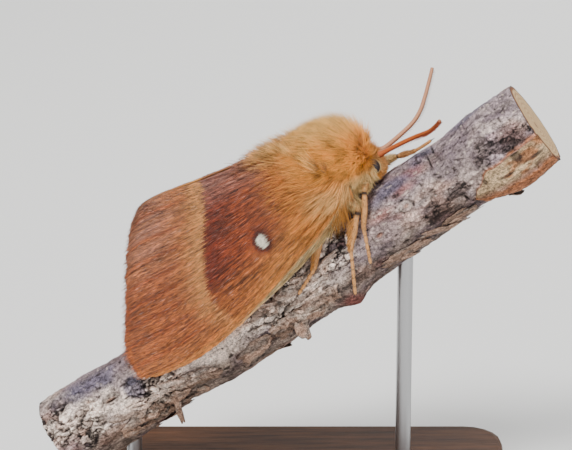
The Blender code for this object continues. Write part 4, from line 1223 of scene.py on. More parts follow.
def short_coat(name, body, region, count, way_of, length, width, tone_of):
    """Short hairs over a region of the body, with a way, a length and a tone for each place."""
    surface, paint, cover, dice = body
    place, normal, _, t, turn = scatter(surface, from_axis, count, dice, region.astype(float))
    beside = np.stack([place[:, 0], np.abs(place[:, 1]), place[:, 2]], -1)
    keep = np.linalg.norm((beside - EYE_CENTRE) / (EYE_HALF * 1.12), axis=-1) > 1.0
    place, normal, t, turn = place[keep], normal[keep], t[keep], turn[keep]
    count = len(place)
    way = unit(way_of(place, normal) + dice.normal(0.0, 0.13, (count, 3)))
    reach = length(place) * dice.uniform(0.6, 1.25, count)
    tip = place + way * reach[:, None]
    bend = place + way * (0.4 * reach)[:, None] + normal * (0.2 * reach)[:, None]
    tip = off_the_branch(around_wings(tip, place, cover), 0.1)
    bend = off_the_branch(around_wings(bend, place, cover), 0.1)
    tone = tone_of(place, paint) * np.clip(dice.normal(1.0, 0.2, (count, 1)), 0.4, 1.7)
    widths = width * dice.uniform(0.7, 1.2, count)
    where = np.stack([t, turn], -1)
    # The darker foot tint is partly the hair's own colour, partly painted shade at the roots
    return hairs(name, place - normal * 0.06, bend, tip, normal, widths, tone * 0.8, tone * 1.12, where)


def antenna_path(side, t):
    """Centre line of a feeler: forward, then outward and up to its tip."""
    return spline(ANTENNA_PATH, t) * (1.0, side, 1.0)


def leg_path(plan, count):
    """Path of a leg through coxa, femur, knee, ankle and along the bark, and where on it they are."""
    coxa, femur, knee, ankle, toe = plan
    knee = np.array(knee)
    ankle_place = foothold(*ankle)
    share = np.arange(1, TARSUS_JOINTS + 1) / TARSUS_JOINTS
    along = ankle[0] + (toe[0] - ankle[0]) * share
    around = ankle[1] + (toe[1] - ankle[1]) * share
    lift = GAP + TARSUS_RADIUS
    height = lift + (ankle[2] - lift) * (1 - share) ** 2
    steps = [coxa, femur, knee, knee * 0.7 + ankle_place * 0.3, knee * 0.35 + ankle_place * 0.65, ankle_place]
    points = np.vstack([np.array(steps), foothold(along, around, height)])
    t = np.linspace(0, 1, count)
    lengths = np.concatenate(([0.0], np.cumsum(np.linalg.norm(np.diff(points, axis=0), axis=1))))
    return spline(points, t), t, lengths / lengths[-1]


def spots(along, around, places):
    """Distance from the nearest of the oval places, where 1 is its rim."""
    nearest = np.full(np.shape(along), 99.0)
    for place, degrees, length, width in places:
        turn = (around - math.radians(degrees) + np.pi) % (2 * np.pi) - np.pi
        away = np.hypot((along - place) / (length / 2), turn * MARK_RADIUS / (width / 2))
        nearest = np.minimum(nearest, away)
    return nearest


def peeled_strip(along, around):
    """Distance from the middle of the peeled strip, where 1 is its rim and the sign tells its side."""
    stations = np.array(PEEL)
    middle = np.radians(eased(along, stations[:, (0, 1)]))
    half = np.radians(np.maximum(eased(along, stations[:, (0, 2)]), 0.2))
    turn = (around - middle + np.pi) % (2 * np.pi) - np.pi
    return np.where(along < PEEL[0][0], 99.0, turn / half)


def cells(points, seed):
    """Uneven cells of about unit size: how far inside its cell each point is, and a number for each cell."""
    home = np.floor(points).astype(np.int64)
    nearest = np.full(points.shape[:-1], 9.0)
    second = nearest.copy()
    mark = np.zeros(points.shape[:-1])
    for corner in np.ndindex(3, 3, 3):
        cell = home + np.array(corner) - 1
        centre = cell + np.stack([lattice(cell, seed + k) for k in range(3)], -1)
        away = np.linalg.norm(points - centre, axis=-1)
        closer = away < nearest
        second = np.where(closer, nearest, np.minimum(second, away))
        mark = np.where(closer, lattice(cell, seed + 3), mark)
        nearest = np.minimum(nearest, away)
    return second - nearest, mark


def painted_shade_below(tone, around, wander=0.0):
    """The tint as it is on the branch's underside, darkened there: painted shade."""
    under = smooth(0.08, -0.42, np.cos(around) + 0.5 * wander)
    return blend(tone, tone * np.array((0.38, 0.35, 0.32)), 0.92 * under)


def bark(along, around, paint):
    """Height over the branch, tint and share of plates of its bark: sums of the marks, each in its place."""
    radius = perch_radius(along, around)
    solid = np.stack([along, radius * np.sin(around), radius * np.cos(around)], -1)
    wander = 0.5 * (fractal(solid, 2.0, 2, 17) - 0.5)

    def marked(places, outer, inner, drift=0.0):
        """1 inside the places and 0 outside, their rims drawn in and out by the wander."""
        return smooth(outer, inner, spots(along, around, places) + drift * wander)

    def patches(size, low, high, seed, octaves=3, stretch=1.0):
        """Where a noise, drawn out along the branch by the stretch, is high: 0 to 1."""
        return smooth(low, high, fractal(solid * (stretch, 1.0, 1.0), size, octaves, seed))

    warp = np.stack([fractal(solid, 1.5, 3, seed) for seed in (211, 223, 227)], -1) - 0.5
    plated = marked(PLATED, 1.3, 0.8, 2.0)
    crusted = marked(CRUSTED, 1.2, 0.75, 2.5)
    even = marked(EVEN, 1.2, 0.7, 1.0) * (1.0 - crusted)
    uneven = 1.0 - 0.85 * even
    gap, mark = cells((solid + 3.0 * warp) * PLATE_SCALE, 53)
    chip, chip_mark = cells((solid + 1.2 * warp) * CHIP_SCALE, 59)
    grain = 2.6 * (fractal(solid * (0.6, 1.0, 1.0), 0.8, 3, 61) - 0.5)
    broken = patches(1.8, 0.42, 0.56, 241)
    seams = smooth(0.11, 0.04, gap) * (0.25 * broken + 0.75 * plated) * uneven
    lines = smooth(0.16, 0.05, chip) * (0.2 + 0.35 * plated + 0.6 * crusted) * uneven * (0.4 + 0.6 * broken)
    relief = plated * (0.4 * (mark - 0.5) + 0.24 * smooth(0.0, 0.3, gap))
    relief = relief + crusted * (0.16 * smooth(0.0, 0.4, chip) + 0.2 * (chip_mark - 0.5))
    relief = relief + 0.14 * (chip_mark - 0.5) * (1.0 - 0.6 * even) + 0.13 * grain
    relief = relief - 0.18 * seams - 0.1 * lines
    # Pale bark, partly painted light over the wing's shadow below it
    pale = marked(PALE_AND_LIT_BARK, 1.2, 0.6, 2.0)
    flecks = patches(2.4, 0.48, 0.64, 97, 4, 0.5)
    tone = layered(
        paint["bark_grey"],
        (paint["bark_lilac"], patches(5.0, 0.42, 0.58, 71)),
        (paint["bark_cream"], np.clip(0.4 * flecks * (1.0 - 0.4 * even) + 0.75 * pale, 0.0, 1.0)),
        (paint["rust"], 0.3 * patches(2.6, 0.55, 0.7, 83, 3, 0.4)),
        (paint["bark_lilac"] * 0.62, 0.7 * even * (1.0 - pale)),
        (paint["bark_cream"], (0.75 * plated + 0.1) * smooth(0.3, 0.7, mark)),
        (paint["rust"] * 0.6, (0.25 * plated + 0.1) * smooth(0.3, 0.05, mark) * (1.0 - even)),
        (paint["bark_dark"] * 2.0, crusted * (0.45 + 0.35 * smooth(0.8, 0.3, chip_mark))),
        (paint["bark_red"], 0.6 * marked(RED_STAINS, 1.3, 0.2, 2.0)),
        # Painted blue grey shade
        (paint["bark_blue"], 0.7 * marked(BLUE_SHADE, 1.3, 0.4, 2.0)),
    )
    # Painted shade and light: the tint is darker where the relief is low and lighter where it is high, with
    # the grain's and the chips' own tones mixed in
    light = 1.0 + relief + 0.45 * grain * (1.0 - 0.6 * even) + 0.35 * (chip_mark - 0.5) * (1.0 - 0.7 * even)
    drawn = solid * (0.7, 1, 1)
    specks = smooth(0.8, 0.87, noise(drawn, 0.33, 107)) * (1.0 - 0.8 * crusted) * (1.0 - 0.5 * even)
    scar = spots(along, around, SCARS) + 2.2 * wander
    slit = marked(SLITS, 1.15, 0.6, 0.6)
    knob = marked((KNOB,), 1.2, 0.2)
    tone = layered(
        tone * np.clip(light, 0.25, 1.9)[..., None],
        (paint["bark_dark"], np.clip(0.9 * seams + 0.8 * lines, 0.0, 0.95)),
        (paint["bark_dark"], 0.85 * smooth(0.79, 0.85, noise(drawn, 0.36, 103))),
        (paint["bark_cream"], 0.6 * specks),
        (paint["bark_dark"], (0.1 + 0.6 * broken) * bell(scar - 1.2, 0.24)),
        (paint["bark_cream"], 0.25 * bell(scar - 0.95, 0.16)),
        (paint["rust"], 0.45 * smooth(0.7, 0.2, scar)),
        (paint["bark_dark"] * 0.6, 0.85 * slit),
        (paint["bark_lilac"], 0.5 * knob),
    )
    relief = relief + 0.2 * bell(scar - 1.0, 0.2) - 0.16 * smooth(0.9, 0.4, scar) - 0.3 * slit
    relief = relief + 0.75 * knob + 0.3 * marked((SHOULDER,), 1.2, 0.1)
    strip = peeled_strip(along, around) + 0.5 * wander
    bare = smooth(1.04, 0.9, np.abs(strip))
    rim = bell(np.abs(strip) - 1.13, 0.11)
    flap = smooth(-1.0, -1.2, strip) * smooth(-2.9, -2.4, strip)
    fibres = patches(0.5, 0.6, 0.75, 131, 3, 0.12)
    wood = layered(
        paint["peeled"],
        (paint["rust"], 0.8 * patches(1.6, 0.5, 0.62, 137, 3, 0.4)),
        (paint["bark_dark"], 0.5 * fibres + 0.7 * smooth(0.75, 1.0, -strip) * bare),
        (paint["bark_dark"] * 1.3, 0.8 * marked(WOOD_KNOTS, 1.3, 0.5, 2.0)),
    )
    tone = layered(
        # Painted shade on the branch's underside
        painted_shade_below(tone, around, wander),
        (paint["rust"], 0.75 * flap),
        (wood, bare),
        (paint["rust"], 0.8 * rim),
        (paint["bark_red"] * 0.55, 0.85 * smooth(0.3, 0.8, bud(along, around, 1.6))),
    )
    relief = relief * (1 - 0.85 * bare) - 0.55 * bare + 0.34 * rim
    return relief, tone, (0.25 + 0.75 * np.maximum(plated, crusted)) * uneven * (1.0 - bare)


def flake_plans(dice):
    """Plans of all flakes, as those placed one by one are written, without any that leave the bark."""
    plans = []
    for rear, front, low, high, count in FLAKE_ZONES:
        spans = ((rear, front), (low, high), FLAKE_LENGTHS, FLAKE_WIDTHS)
        plan = [dice.uniform(least, most, count) for least, most in spans]
        plan += [dice.normal(0.0, FLAKE_TURN, count), dice.uniform(*FLAKE_CURLS, count)]
        plans.append(np.stack(plan, -1))
    plans = np.concatenate([*plans, CURLED_FLAKES])
    inside = np.abs(peeled_strip(plans[:, 0], np.radians(plans[:, 1]))) > 1.5
    inside &= (plans[:, 0] > PERCH_REAR + 3.0) & (plans[:, 0] < PERCH_FRONT - 3.0)
    return plans[inside]


def bark_flakes(name, paint, dice):
    """Loose plates of bark: jagged outlines that follow the branch and lift or curl at one end."""
    place, degrees, length, width, turn, curl = (column[:, None, None] for column in flake_plans(dice).T)
    rows, columns = FLAKE_ROWS, FLAKE_COLUMNS
    p, q = np.meshgrid(np.linspace(-1, 1, rows), np.linspace(-1, 1, columns), indexing="ij")
    round_p, round_q = p * np.sqrt(1 - q * q / 2.6), q * np.sqrt(1 - p * p / 2.2)
    seeds = np.arange(len(place))[:, None, None] * 9.7
    wobble = np.stack(np.broadcast_arrays(round_p * 2 + seeds, round_q * 2, seeds), -1)
    wobble = 0.45 + 1.1 * fractal(wobble, 0.8, 3, 7)
    ahead, beside = round_p * wobble * length / 2, round_q * wobble * width / 2
    turn = np.radians(turn)
    along = place + ahead * np.cos(turn) - beside * np.sin(turn)
    around = np.radians(degrees) + (ahead * np.sin(turn) + beside * np.cos(turn)) / FLAKE_RADIUS
    ground, tone, _ = bark(along, around, paint)
    raised = curl * smooth(-0.6, 1.0, round_p) ** 1.5 + 0.1 + 0.08 * (wobble - 1.0)
    edge = np.maximum(np.abs(p), np.abs(q))
    top = on_branch(along, around, ground + raised + 0.1 * (1 - edge**4))
    under = on_branch(along, around, ground + raised - 0.05)
    grain = fractal(np.stack([along * 0.5, around * FLAKE_RADIUS, around * 0], -1), 0.6, 3, 19)
    tone = layered(
        tone,
        # The flakes' cream, with painted shade on the branch's underside
        (painted_shade_below(paint["bark_cream"] + 0 * tone, around), 0.4 + 0.5 * smooth(0.35, 0.65, grain)),
        (paint["rust"] * 0.8, 0.35 * smooth(0.6, 0.9, wobble * grain * 1.6)),
    )
    tone = tone * dice.uniform(0.5, 1.3, (len(place), 1, 1, 1))
    count, size = len(place), rows * columns
    top, under, tone = (grid.reshape(count, size, 3) for grid in (top, under, tone))
    points, tones = np.concatenate([top, under], 1), np.concatenate([tone, tone * 0.5], 1)
    shift = (np.arange(count) * 2 * size)[:, None, None]
    faces = [(shape[None] + shift).reshape(-1, 4) for shape in plate_faces(rows, columns)]
    return build_mesh(name, to_world(points.reshape(-1, 3), BRANCH_PITCH), faces, tones.reshape(-1, 3))


def sawn_end(name, ring, around, outward, paint):
    """A sawn face: the bark's edge ring drawn in to the pith, with year rings and rays in its tint."""
    columns = len(ring)
    share = np.linspace(0, 1, END_STEPS)[:, None, None]
    face = ring[None] * (1 - share) + ring.mean(0) * share
    face[..., 0] += outward * (0.02 + 0.06 * smooth(0.0, 0.12, share[..., 0]))
    back = ring.mean(0) + (face - ring.mean(0)) * 0.97
    back[..., 0] -= outward * 0.4
    away = np.broadcast_to(1 - share[..., 0], face.shape[:2])
    rings = 0.5 + 0.5 * np.cos((away + fractal(face, 2.4, 2, 7) * 0.12) * 2 * np.pi * YEAR_RINGS)
    fan = np.stack(np.broadcast_arrays(np.cos(around) * 9, np.sin(around) * 9, away), -1)
    tone = layered(
        paint["cut_wood"],
        (paint["rust"] * 0.8, rings**3 * 0.85),
        (paint["cut_wood"] * 0.6, smooth(0.62, 0.8, noise(fan, 0.5, 3)) * 0.4),
        (paint["rust"] * 0.6, smooth(0.88, 0.92, away)),
        (paint["bark_dark"], smooth(0.95, 0.98, away)),
        (paint["rust"] * 0.5, smooth(0.07, 0.03, away)),
    )
    points = np.concatenate([face.reshape(-1, 3), back.reshape(-1, 3)])
    tones = np.concatenate([tone.reshape(-1, 3)] * 2)
    count = END_STEPS * columns
    quads = grid_faces(END_STEPS, columns, closed=True)
    faces = [quads, quads[:, ::-1] + count, rim_wall(np.arange(columns), count)]
    return build_mesh(name, to_world(points, BRANCH_PITCH), faces, tones)


def moth_tube(name, path, wide, deep, sides, reference, tone=None):
    """A swept tube of the moth's frame as a mesh object, with a tint for all or each of its points."""
    points, faces = sweep(path, wide, deep, sides, reference)
    tone = None if tone is None else np.broadcast_to(tone, points.shape)
    return build_mesh(name, to_world(points, MOTH_PITCH), faces, tone)


class BuildWings(Operator):
    """Forewings and hindwings with their scales and fringes"""

    bl_idname = "moth.build_wings"
    bl_label = "Wings"

    def execute(self, context):
        sizes, paint = context.scene.moth_sizes, tints()
        dice = np.random.default_rng(SEED)
        membrane, scales = wing_material("russet_wing"), coat_material("wing_scales", 0.6)
        fore_fringe, hind_fringe = (("fringe", wing_fringe, count) for count in FRINGE_HAIRS)
        fore_scales = ("scales", wing_scale_coat, sizes.wing_scales)
        hind_scales = ("scales", wing_scale_coat, sizes.wing_scales // 5)
        base_hair = ("base_hair", wing_base_hair, BASE_HAIRS)
        kinds = (
            ("forewing", FOREWING, wing_pattern, "russet_wing", 1, (fore_scales, fore_fringe, base_hair)),
            ("hindwing", HINDWING, hindwing_pattern, "tan_hindwing", 2, (hind_scales, hind_fringe)),
        )
        for tag, side in SIDES:
            for kind, wing, pattern, slot, coarser, coats in kinds:
                name = f"{kind}_{tag}"
                shape = (sizes.wing_rows // coarser, sizes.wing_columns // coarser)
                plate, top = wing_plate(name + "_skin", wing, side, shape, pattern, paint)
                finish_piece(plate, membrane, [name])
                for ending, make, count in coats:
                    coat = make(f"{name}_{ending}", wing, side, top, count, pattern, paint, dice)
                    finish_piece(coat, scales)
        return {"FINISHED"}


class BuildBody(Operator):
    """One skin for head, thorax and abdomen, with eyes and palps"""

    bl_idname = "moth.build_body"
    bl_label = "Body"

    def execute(self, context):
        paint = tints()
        self.skin(paint)
        finish = eye_material(paint)
        for tag, side in SIDES:
            self.eye(tag, side, finish)
        finish = chitin_material("palp_skin")
        for tag, side in SIDES:
            self.palp(tag, side, paint, finish)
        return {"FINISHED"}

    def skin(self, paint):
        """The coat's surface from face to tail as a closed tube, its ends drawn to points."""
        along, up = spline(BODY_SECTIONS, np.array((0.0, 1.0)))[:, :2].T
        tips = np.stack([along, along * 0, up], -1)
        surface = body_surface(BODY_ROWS, BODY_SIDES, meeting=False)
        points = np.concatenate([surface.reshape(-1, 3), tips])
        tone = coat_tone(points, paint) * 0.5
        skin = build_mesh("body_skin", to_world(points, MOTH_PITCH), tube_faces(BODY_ROWS, BODY_SIDES), tone)
        finish_piece(skin, coat_material("body_skin"), ["head", "thorax", "abdomen"])

    def eye(self, tag, side, finish):
        """An ellipsoid: at each angle up its path, the sine of it high and the cosine of it wide."""
        rise = np.linspace(-np.pi / 2, np.pi / 2, EYE_ROWS)
        path = EYE_CENTRE * (1, side, 1) + np.stack([rise * 0, rise * 0, np.sin(rise) * EYE_HALF[2]], -1)
        wide, deep = (EYE_HALF[axis] * np.maximum(np.cos(rise), 0.01) for axis in (1, 0))
        eye = moth_tube(f"eye_{tag}_lens", path, wide, deep, EYE_SIDES, (1.0, 0.0, 0.0))
        finish_piece(eye, finish, ["eye_" + tag])

    def palp(self, tag, side, paint, finish):
        """A blunt tube along the palp's path, its radius even but for round ends, and thinner to its tip."""
        t = np.linspace(0, 1, PALP_ROWS)
        path = spline(np.array(PALP_PATH) * (1, side, 1), t)
        radius = PALP_RADIUS * np.sqrt(np.clip(1 - (2 * t - 1) ** 6, 0.02, 1)) * (1.1 - 0.4 * t)
        tone = paint["coat_gold"] * 0.7
        palp = moth_tube(f"palp_{tag}_skin", path, radius, radius, PALP_SIDES, (0.0, 1.0, 0.0), tone)
        finish_piece(palp, finish, ["palp_" + tag])


class BuildCoat(Operator):
    """Coat of the thorax in clumps, and the short hair of head, palps, belly and abdomen"""

    bl_idname = "moth.build_coat"
    bl_label = "Coat"

    def execute(self, context):
        sizes, paint = context.scene.moth_sizes, tints()
        dice = np.random.default_rng(SEED + 1)
        finish = coat_material("golden_coat")
        body = (body_surface(240, 121), paint, wing_cover(), dice)
        for tag, *band in COAT_BANDS:
            coat = thorax_coat("thorax_coat_" + tag, body, sizes.coat_hairs, sizes.hair_width, *band)
            finish_piece(coat, finish)
        for make in (self.head_hair, self.abdomen_hair, self.palp_hair, self.belly_hair):
            finish_piece(make(body), finish)
        return {"FINISHED"}

    def head_hair(self, body):
        """Short upright hair on the face, a longer crown over the eyes and hair from the neck round them."""
        along = body[0][..., 0]

        def crown(place):
            """1 over the eyes, 0 on the face."""
            return smooth(8.9, 9.8, place[:, 2])

        def neck(place):
            """1 behind the eyes and below the crown."""
            return smooth(7.5, 6.8, place[:, 0]) * (1 - crown(place))

        def way(place, normal):
            upright = normal * 0.8 + np.array((0.15, 0.0, -0.35))
            raised = np.array((0.72, 0.0, 0.62)) + normal * 0.2
            return layered(upright, (raised, crown(place)), (mirrored(place, (1.0, 0.45, -0.3)), neck(place)))

        def length(place):
            return 0.38 + 1.0 * crown(place) + 0.65 * neck(place)

        def tone(place, paint):
            face = blend(paint["coat_gold"], paint["leg"], 0.75)
            gold = blend(paint["coat_gold"], paint["coat_dark"], 0.35 * smooth(9.2, 9.8, place[:, 2]))
            return blend(gold, face, smooth(7.6, 8.1, place[:, 0]) * (1 - 0.7 * crown(place)))

        region = (along > 6.0) & (along < 8.9)
        return short_coat("head_coat", body, region, HEAD_HAIRS, way, length, 0.085, tone)

    def abdomen_hair(self, body):
        """Close hair that lies back along the abdomen, ringed at its joints and longer at the tail."""

        def way(place, normal):
            return normal * 0.28 + np.array((-1.0, 0.0, 0.0))

        def length(place):
            return 1.5 + 0.5 * smooth(-15.0, -18.0, place[:, 0])

        def tone(place, paint):
            rings = 0.5 + 0.5 * np.cos((place[:, 0] - WAIST) * 2 * np.pi / 2.4)
            return blend(paint["coat_gold"], paint["russet"], 0.3 + 0.25 * rings)

        region = body[0][..., 0] < WAIST
        return short_coat("abdomen_coat", body, region, ABDOMEN_HAIRS, way, length, 0.18, tone)

    def belly_hair(self, body):
        """Hair that hangs from the lower flanks, between the wings' front edges and the bark, darker in tint:
        partly its own colour, partly painted shade under the body.
        """
        along, side, up = np.moveaxis(body[0], -1, 0)
        region = (along > -3.5) & (along < 2.8) & (up < 9.6) & (np.abs(side) > 0.7)

        def way(place, normal):
            return mirrored(place, (-0.3, 1.1, -1.2)) + normal * 0.25

        def length(place):
            return np.full(len(place), 5.0)

        def tone(place, paint):
            # Gold and dark brown at 0.66 and 0.7 of their colour: partly the hair's own colour, partly
            # painted shade under the body
            return blend(paint["coat_gold"] * 0.66, paint["coat_dark"] * 0.7, smooth(1.5, -2.0, place[:, 0]))

        return short_coat("belly_coat", body, region, BELLY_HAIRS, way, length, 0.12, tone)

    def palp_hair(self, body):
        """Short hair all round both palps, leaning to their tips."""
        _, paint, _, dice = body
        count = PALP_HAIRS
        side = np.where(np.arange(count) % 2, -1.0, 1.0)
        t, turn = dice.random(count), dice.uniform(0, 2 * np.pi, count)
        path = spline(np.array(PALP_PATH), t) * np.stack([side * 0 + 1, side, side * 0 + 1], -1)
        out = np.stack([np.sin(turn) * 0.5, np.cos(turn), np.sin(turn) * 0.86], -1)
        way = unit(out * 0.45 + np.array((0.75, 0.0, -0.5)))
        root = path + out * 0.24
        tip = off_the_branch(root + way * (0.28 * dice.uniform(0.6, 1.1, count))[:, None], 0.05)
        bend = (root + tip) / 2 + out * 0.05
        tone = paint["coat_gold"] * dice.normal(0.95, 0.14, (count, 1))
        where = np.stack([t, turn / (2 * np.pi)], -1)
        # The darker foot tint is partly the hair's own colour, partly painted shade at the roots
        return hairs("palp_coat", root, bend, tip, out, np.full(count, 0.09), tone * 0.7, tone, where)


class BuildAntennae(Operator):
    """Ringed feelers with two rows of short teeth"""

    bl_idname = "moth.build_antennae"
    bl_label = "Feelers"

    def execute(self, context):
        paint = tints()
        dice = np.random.default_rng(SEED + 2)
        finish = chitin_material("tan_antenna", 0.55)
        for tag, side in SIDES:
            name = "antenna_" + tag
            finish_piece(self.shaft(name + "_shaft", side, paint), finish, [name])
            finish_piece(self.teeth(name + "_teeth", side, paint, dice), finish)
        return {"FINISHED"}

    def shaft(self, name, side, paint):
        """A tapering tube whose radius swells at each ring and at its root, darker below and at its tip."""
        t = np.linspace(0, 1, ANTENNA_ROWS)
        rings = 0.5 + 0.5 * np.cos(t * 2 * np.pi * ANTENNA_RINGS)
        radius = (ANTENNA_RADIUS - ANTENNA_TAPER * t) * (0.92 + 0.1 * rings) * (1 + 0.4 * bell(t, 0.05))
        turn = np.linspace(0, 2 * np.pi, ANTENNA_SIDES, endpoint=False)
        turn = np.append(np.tile(turn, ANTENNA_ROWS), (0, 0))
        ahead = np.append(np.repeat(t, ANTENNA_SIDES), (0.0, 1.0))
        outer = smooth(-0.1, 0.5, np.cos(turn) * side)
        tone = layered(
            paint["antenna_pale"],
            (paint["antenna"], outer),
            (paint["antenna_dark"], 0.8 * smooth(0.45, -0.35, np.sin(turn))),
            (paint["antenna_dark"], 0.55 * smooth(0.7, 0.98, ahead) * outer),
        )
        tone = tone * (1 - 0.25 * np.append(np.repeat(1 - rings, ANTENNA_SIDES), (0, 0)))[:, None]
        tone[-1] = tone[-2 - ANTENNA_SIDES : -2].mean(0)
        return moth_tube(name, antenna_path(side, t), radius, radius, ANTENNA_SIDES, (0.0, 0.0, 1.0), tone)

    def teeth(self, name, side, paint, dice):
        """Two rows of short teeth along the feeler, leaning forward and down."""
        count = 2 * ANTENNA_TEETH
        at = np.tile((np.arange(ANTENNA_TEETH) + 0.5) / ANTENNA_TEETH * 0.88 + 0.1, 2)
        row = np.repeat([-1.0, 1.0], ANTENNA_TEETH)
        root = antenna_path(side, at)
        ahead = unit(antenna_path(side, at + 0.01) - root)
        beside = unit(np.cross(ahead, (0.0, 0.0, 1.0)))
        way = unit(beside * row[:, None] * 0.8 + np.array((0.0, 0.0, -0.75)) + ahead * 0.45)
        length = TOOTH_LENGTH * (1 - 0.45 * at) * smooth(0.08, 0.2, at) * dice.uniform(0.85, 1.1, count)
        tip = root + way * (0.2 + length)[:, None]
        bend = (root + tip) / 2 + ahead * 0.06
        tone = np.broadcast_to(paint["antenna_dark"], root.shape) * dice.uniform(0.9, 1.4, (count, 1))
        where = np.stack([at, row * 0.25 + 0.5], -1)
        width = np.full(count, TOOTH_WIDTH)
        return hairs(name, root, bend, tip, ahead, width, tone, tone * 1.3, where, 3, 0.9)


class BuildLegs(Operator):
    """Jointed legs with dark knee rings, claws and hair"""

    bl_idname = "moth.build_legs"
    bl_label = "Legs"

    def execute(self, context):
        paint = tints()
        dice = np.random.default_rng(SEED + 3)
        skin, fur = chitin_material("tan_leg"), coat_material("leg_hair")
        for name, plan in LEGS.items():
            path, t, marks = leg_path(plan, LEG_ROWS)
            knee, ankle = marks[2], marks[5]
            places = (0.0, marks[1], knee - 0.02, knee + 0.03, (knee + ankle) / 2)
            places = (*places, ankle - 0.02, ankle + 0.02, 0.97, 1.0)
            tarsus = smooth(ankle, ankle + 0.03, t)
            beads = np.abs(np.sin(np.clip((t - ankle) / (1 - ankle), 0, 1) * np.pi * TARSUS_JOINTS))
            radius = eased(t, tuple(zip(places, LEG_RADII))) * (1 - 0.35 * tarsus * (1 - beads**0.5))
            ring = 1.3 * bell(t - knee - 0.035, 0.018) + 0.6 * bell(t - ankle, 0.01)
            ring = ring + 0.7 * tarsus * smooth(0.4, 0.0, beads)
            tone = blend(paint["leg"], paint["leg_ring"], np.clip(ring, 0, 1))
            tone = np.concatenate([np.repeat(tone, LEG_SIDES, 0), tone[:1], tone[-1:]])
            leg = moth_tube(name + "_skin", path, radius, radius, LEG_SIDES, LEG_REFERENCE, tone)
            finish_piece(leg, skin, [name])
            finish_piece(self.hair(name, path, t, radius, knee, ankle, paint, dice), fur)
            finish_piece(self.claws(name, path, paint), skin)
        return {"FINISHED"}

    def hair(self, name, path, t, radius, knee, ankle, paint, dice):
        """Close hair all along, longer towards the body, and a fringe on all but the fore legs."""
        along = unit(np.gradient(path, axis=0))
        parts = [self.close_hair(name, path, t, radius, knee, ankle, along, paint, dice)]
        if not name.startswith("foreleg"):
            side = -1.0 if name.endswith("R") else 1.0
            parts.append(self.fringe(side, path, t, radius, knee, ankle, along, paint, dice))
        root, bend, tip, facing, tone, where = (np.concatenate(group) for group in zip(*parts))
        width = np.full(len(root), LEG_HAIR_WIDTH)
        # The darker foot tint is partly the hair's own colour, partly painted shade at the roots
        return hairs(name + "_hair", root, bend, tip, facing, width, tone * 0.75, tone * 1.08, where)

    def close_hair(self, name, path, t, radius, knee, ankle, along, paint, dice):
        """Hair at random places round the leg, half of that on the tarsus moved up to the thigh."""
        count = LEG_HAIRS
        index = dice.integers(2, len(t) - 6, count)
        moved = (dice.random(count) < 0.5) & (t[index] > ankle)
        index = np.where(moved, dice.integers(2, len(t) // 2, count), index)
        turn = dice.uniform(0, 2 * np.pi, count)
        place, ahead = t[index], along[index]
        across = unit(np.cross(np.array(LEG_REFERENCE), ahead))
        out = across * np.cos(turn)[:, None] + np.cross(ahead, across) * np.sin(turn)[:, None]
        root = path[index] + out * (radius[index] * 0.9)[:, None]
        thigh = 0.75 if name.startswith("foreleg") else 1.4
        bare = bell(place - knee - 0.03, 0.02)
        reach = (0.3 + thigh * smooth(knee * 1.1, knee * 0.6, place)) * dice.uniform(0.6, 1.2, count)
        reach = reach * np.where(place > ankle, 0.6, 1.0) * (1.0 - 0.9 * bare)
        tip = off_the_branch(root + unit(ahead + out * 0.5) * reach[:, None], 0.04)
        bend = root + ahead * (0.5 * reach)[:, None] + out * (0.2 * reach)[:, None]
        fur = paint["coat_gold"] * 0.7 if name.startswith("hindleg") else paint["coat_chest"] * 0.85
        shares = ((fur, smooth(knee * 1.2, knee * 0.8, place)), (paint["leg_ring"], 0.95 * bare))
        tone = layered(paint["leg"], *shares) * dice.normal(0.95, 0.28, (count, 1))
        return root, bend, tip, out, tone, np.stack([place, turn / (2 * np.pi)], -1)

    def fringe(self, side, path, t, radius, knee, ankle, along, paint, dice):
        """A fringe behind the tibia, shorter to the ankle."""
        count = LEG_FRINGE_HAIRS
        index = dice.integers(int((knee + 0.06) * len(t)) + 2, int(ankle * len(t)) - 3, count)
        ahead = along[index]
        back = unit(np.array((-1.0, 0.1 * side, -0.1)) + dice.normal(0.0, 0.3, (count, 3)))
        root = path[index] + back * (radius[index] * 0.7)[:, None]
        reach = (1.85 - 1.2 * smooth(knee, ankle, t[index])) * dice.uniform(0.5, 1.1, count)
        tip = off_the_branch(root + unit(ahead + back * 0.85) * reach[:, None], 0.08)
        bend = root + ahead * (0.3 * reach)[:, None] + back * (0.4 * reach)[:, None]
        tone = blend(paint["leg"], paint["coat_gold"], dice.random(count))
        tone = tone * dice.normal(0.88, 0.28, (count, 1))
        where = np.stack([t[index], dice.random(count)], -1)
        return root, bend, tip, np.broadcast_to((0.0, side, 0.2), root.shape), tone, where

    def claws(self, name, path, paint):
        """Two hooked claws at the toe, bent down to the bark."""
        toe, ahead = path[-1], unit(path[-1] - path[-8])
        down = unit(off_the_branch(toe, 0.0) - off_the_branch(toe, 1.0))
        beside = unit(np.cross(ahead, down + np.array((0.0, 0.0, 1e-3))))
        spread = np.array((-1.0, 1.0))[:, None]
        root = toe + beside * spread * 0.07
        tip = off_the_branch(toe + ahead * 0.5 + beside * spread * 0.28, 0.02)
        bend = toe + ahead * 0.42 + beside * spread * 0.2
        tone, facing = (np.broadcast_to(row, root.shape) for row in (paint["leg_ring"], beside))
        width, where = np.full(2, CLAW_WIDTH), np.full((2, 2), 0.5)
        return hairs(name + "_claws", root, bend, tip, facing, width, tone, tone, where, 5, 0.9)


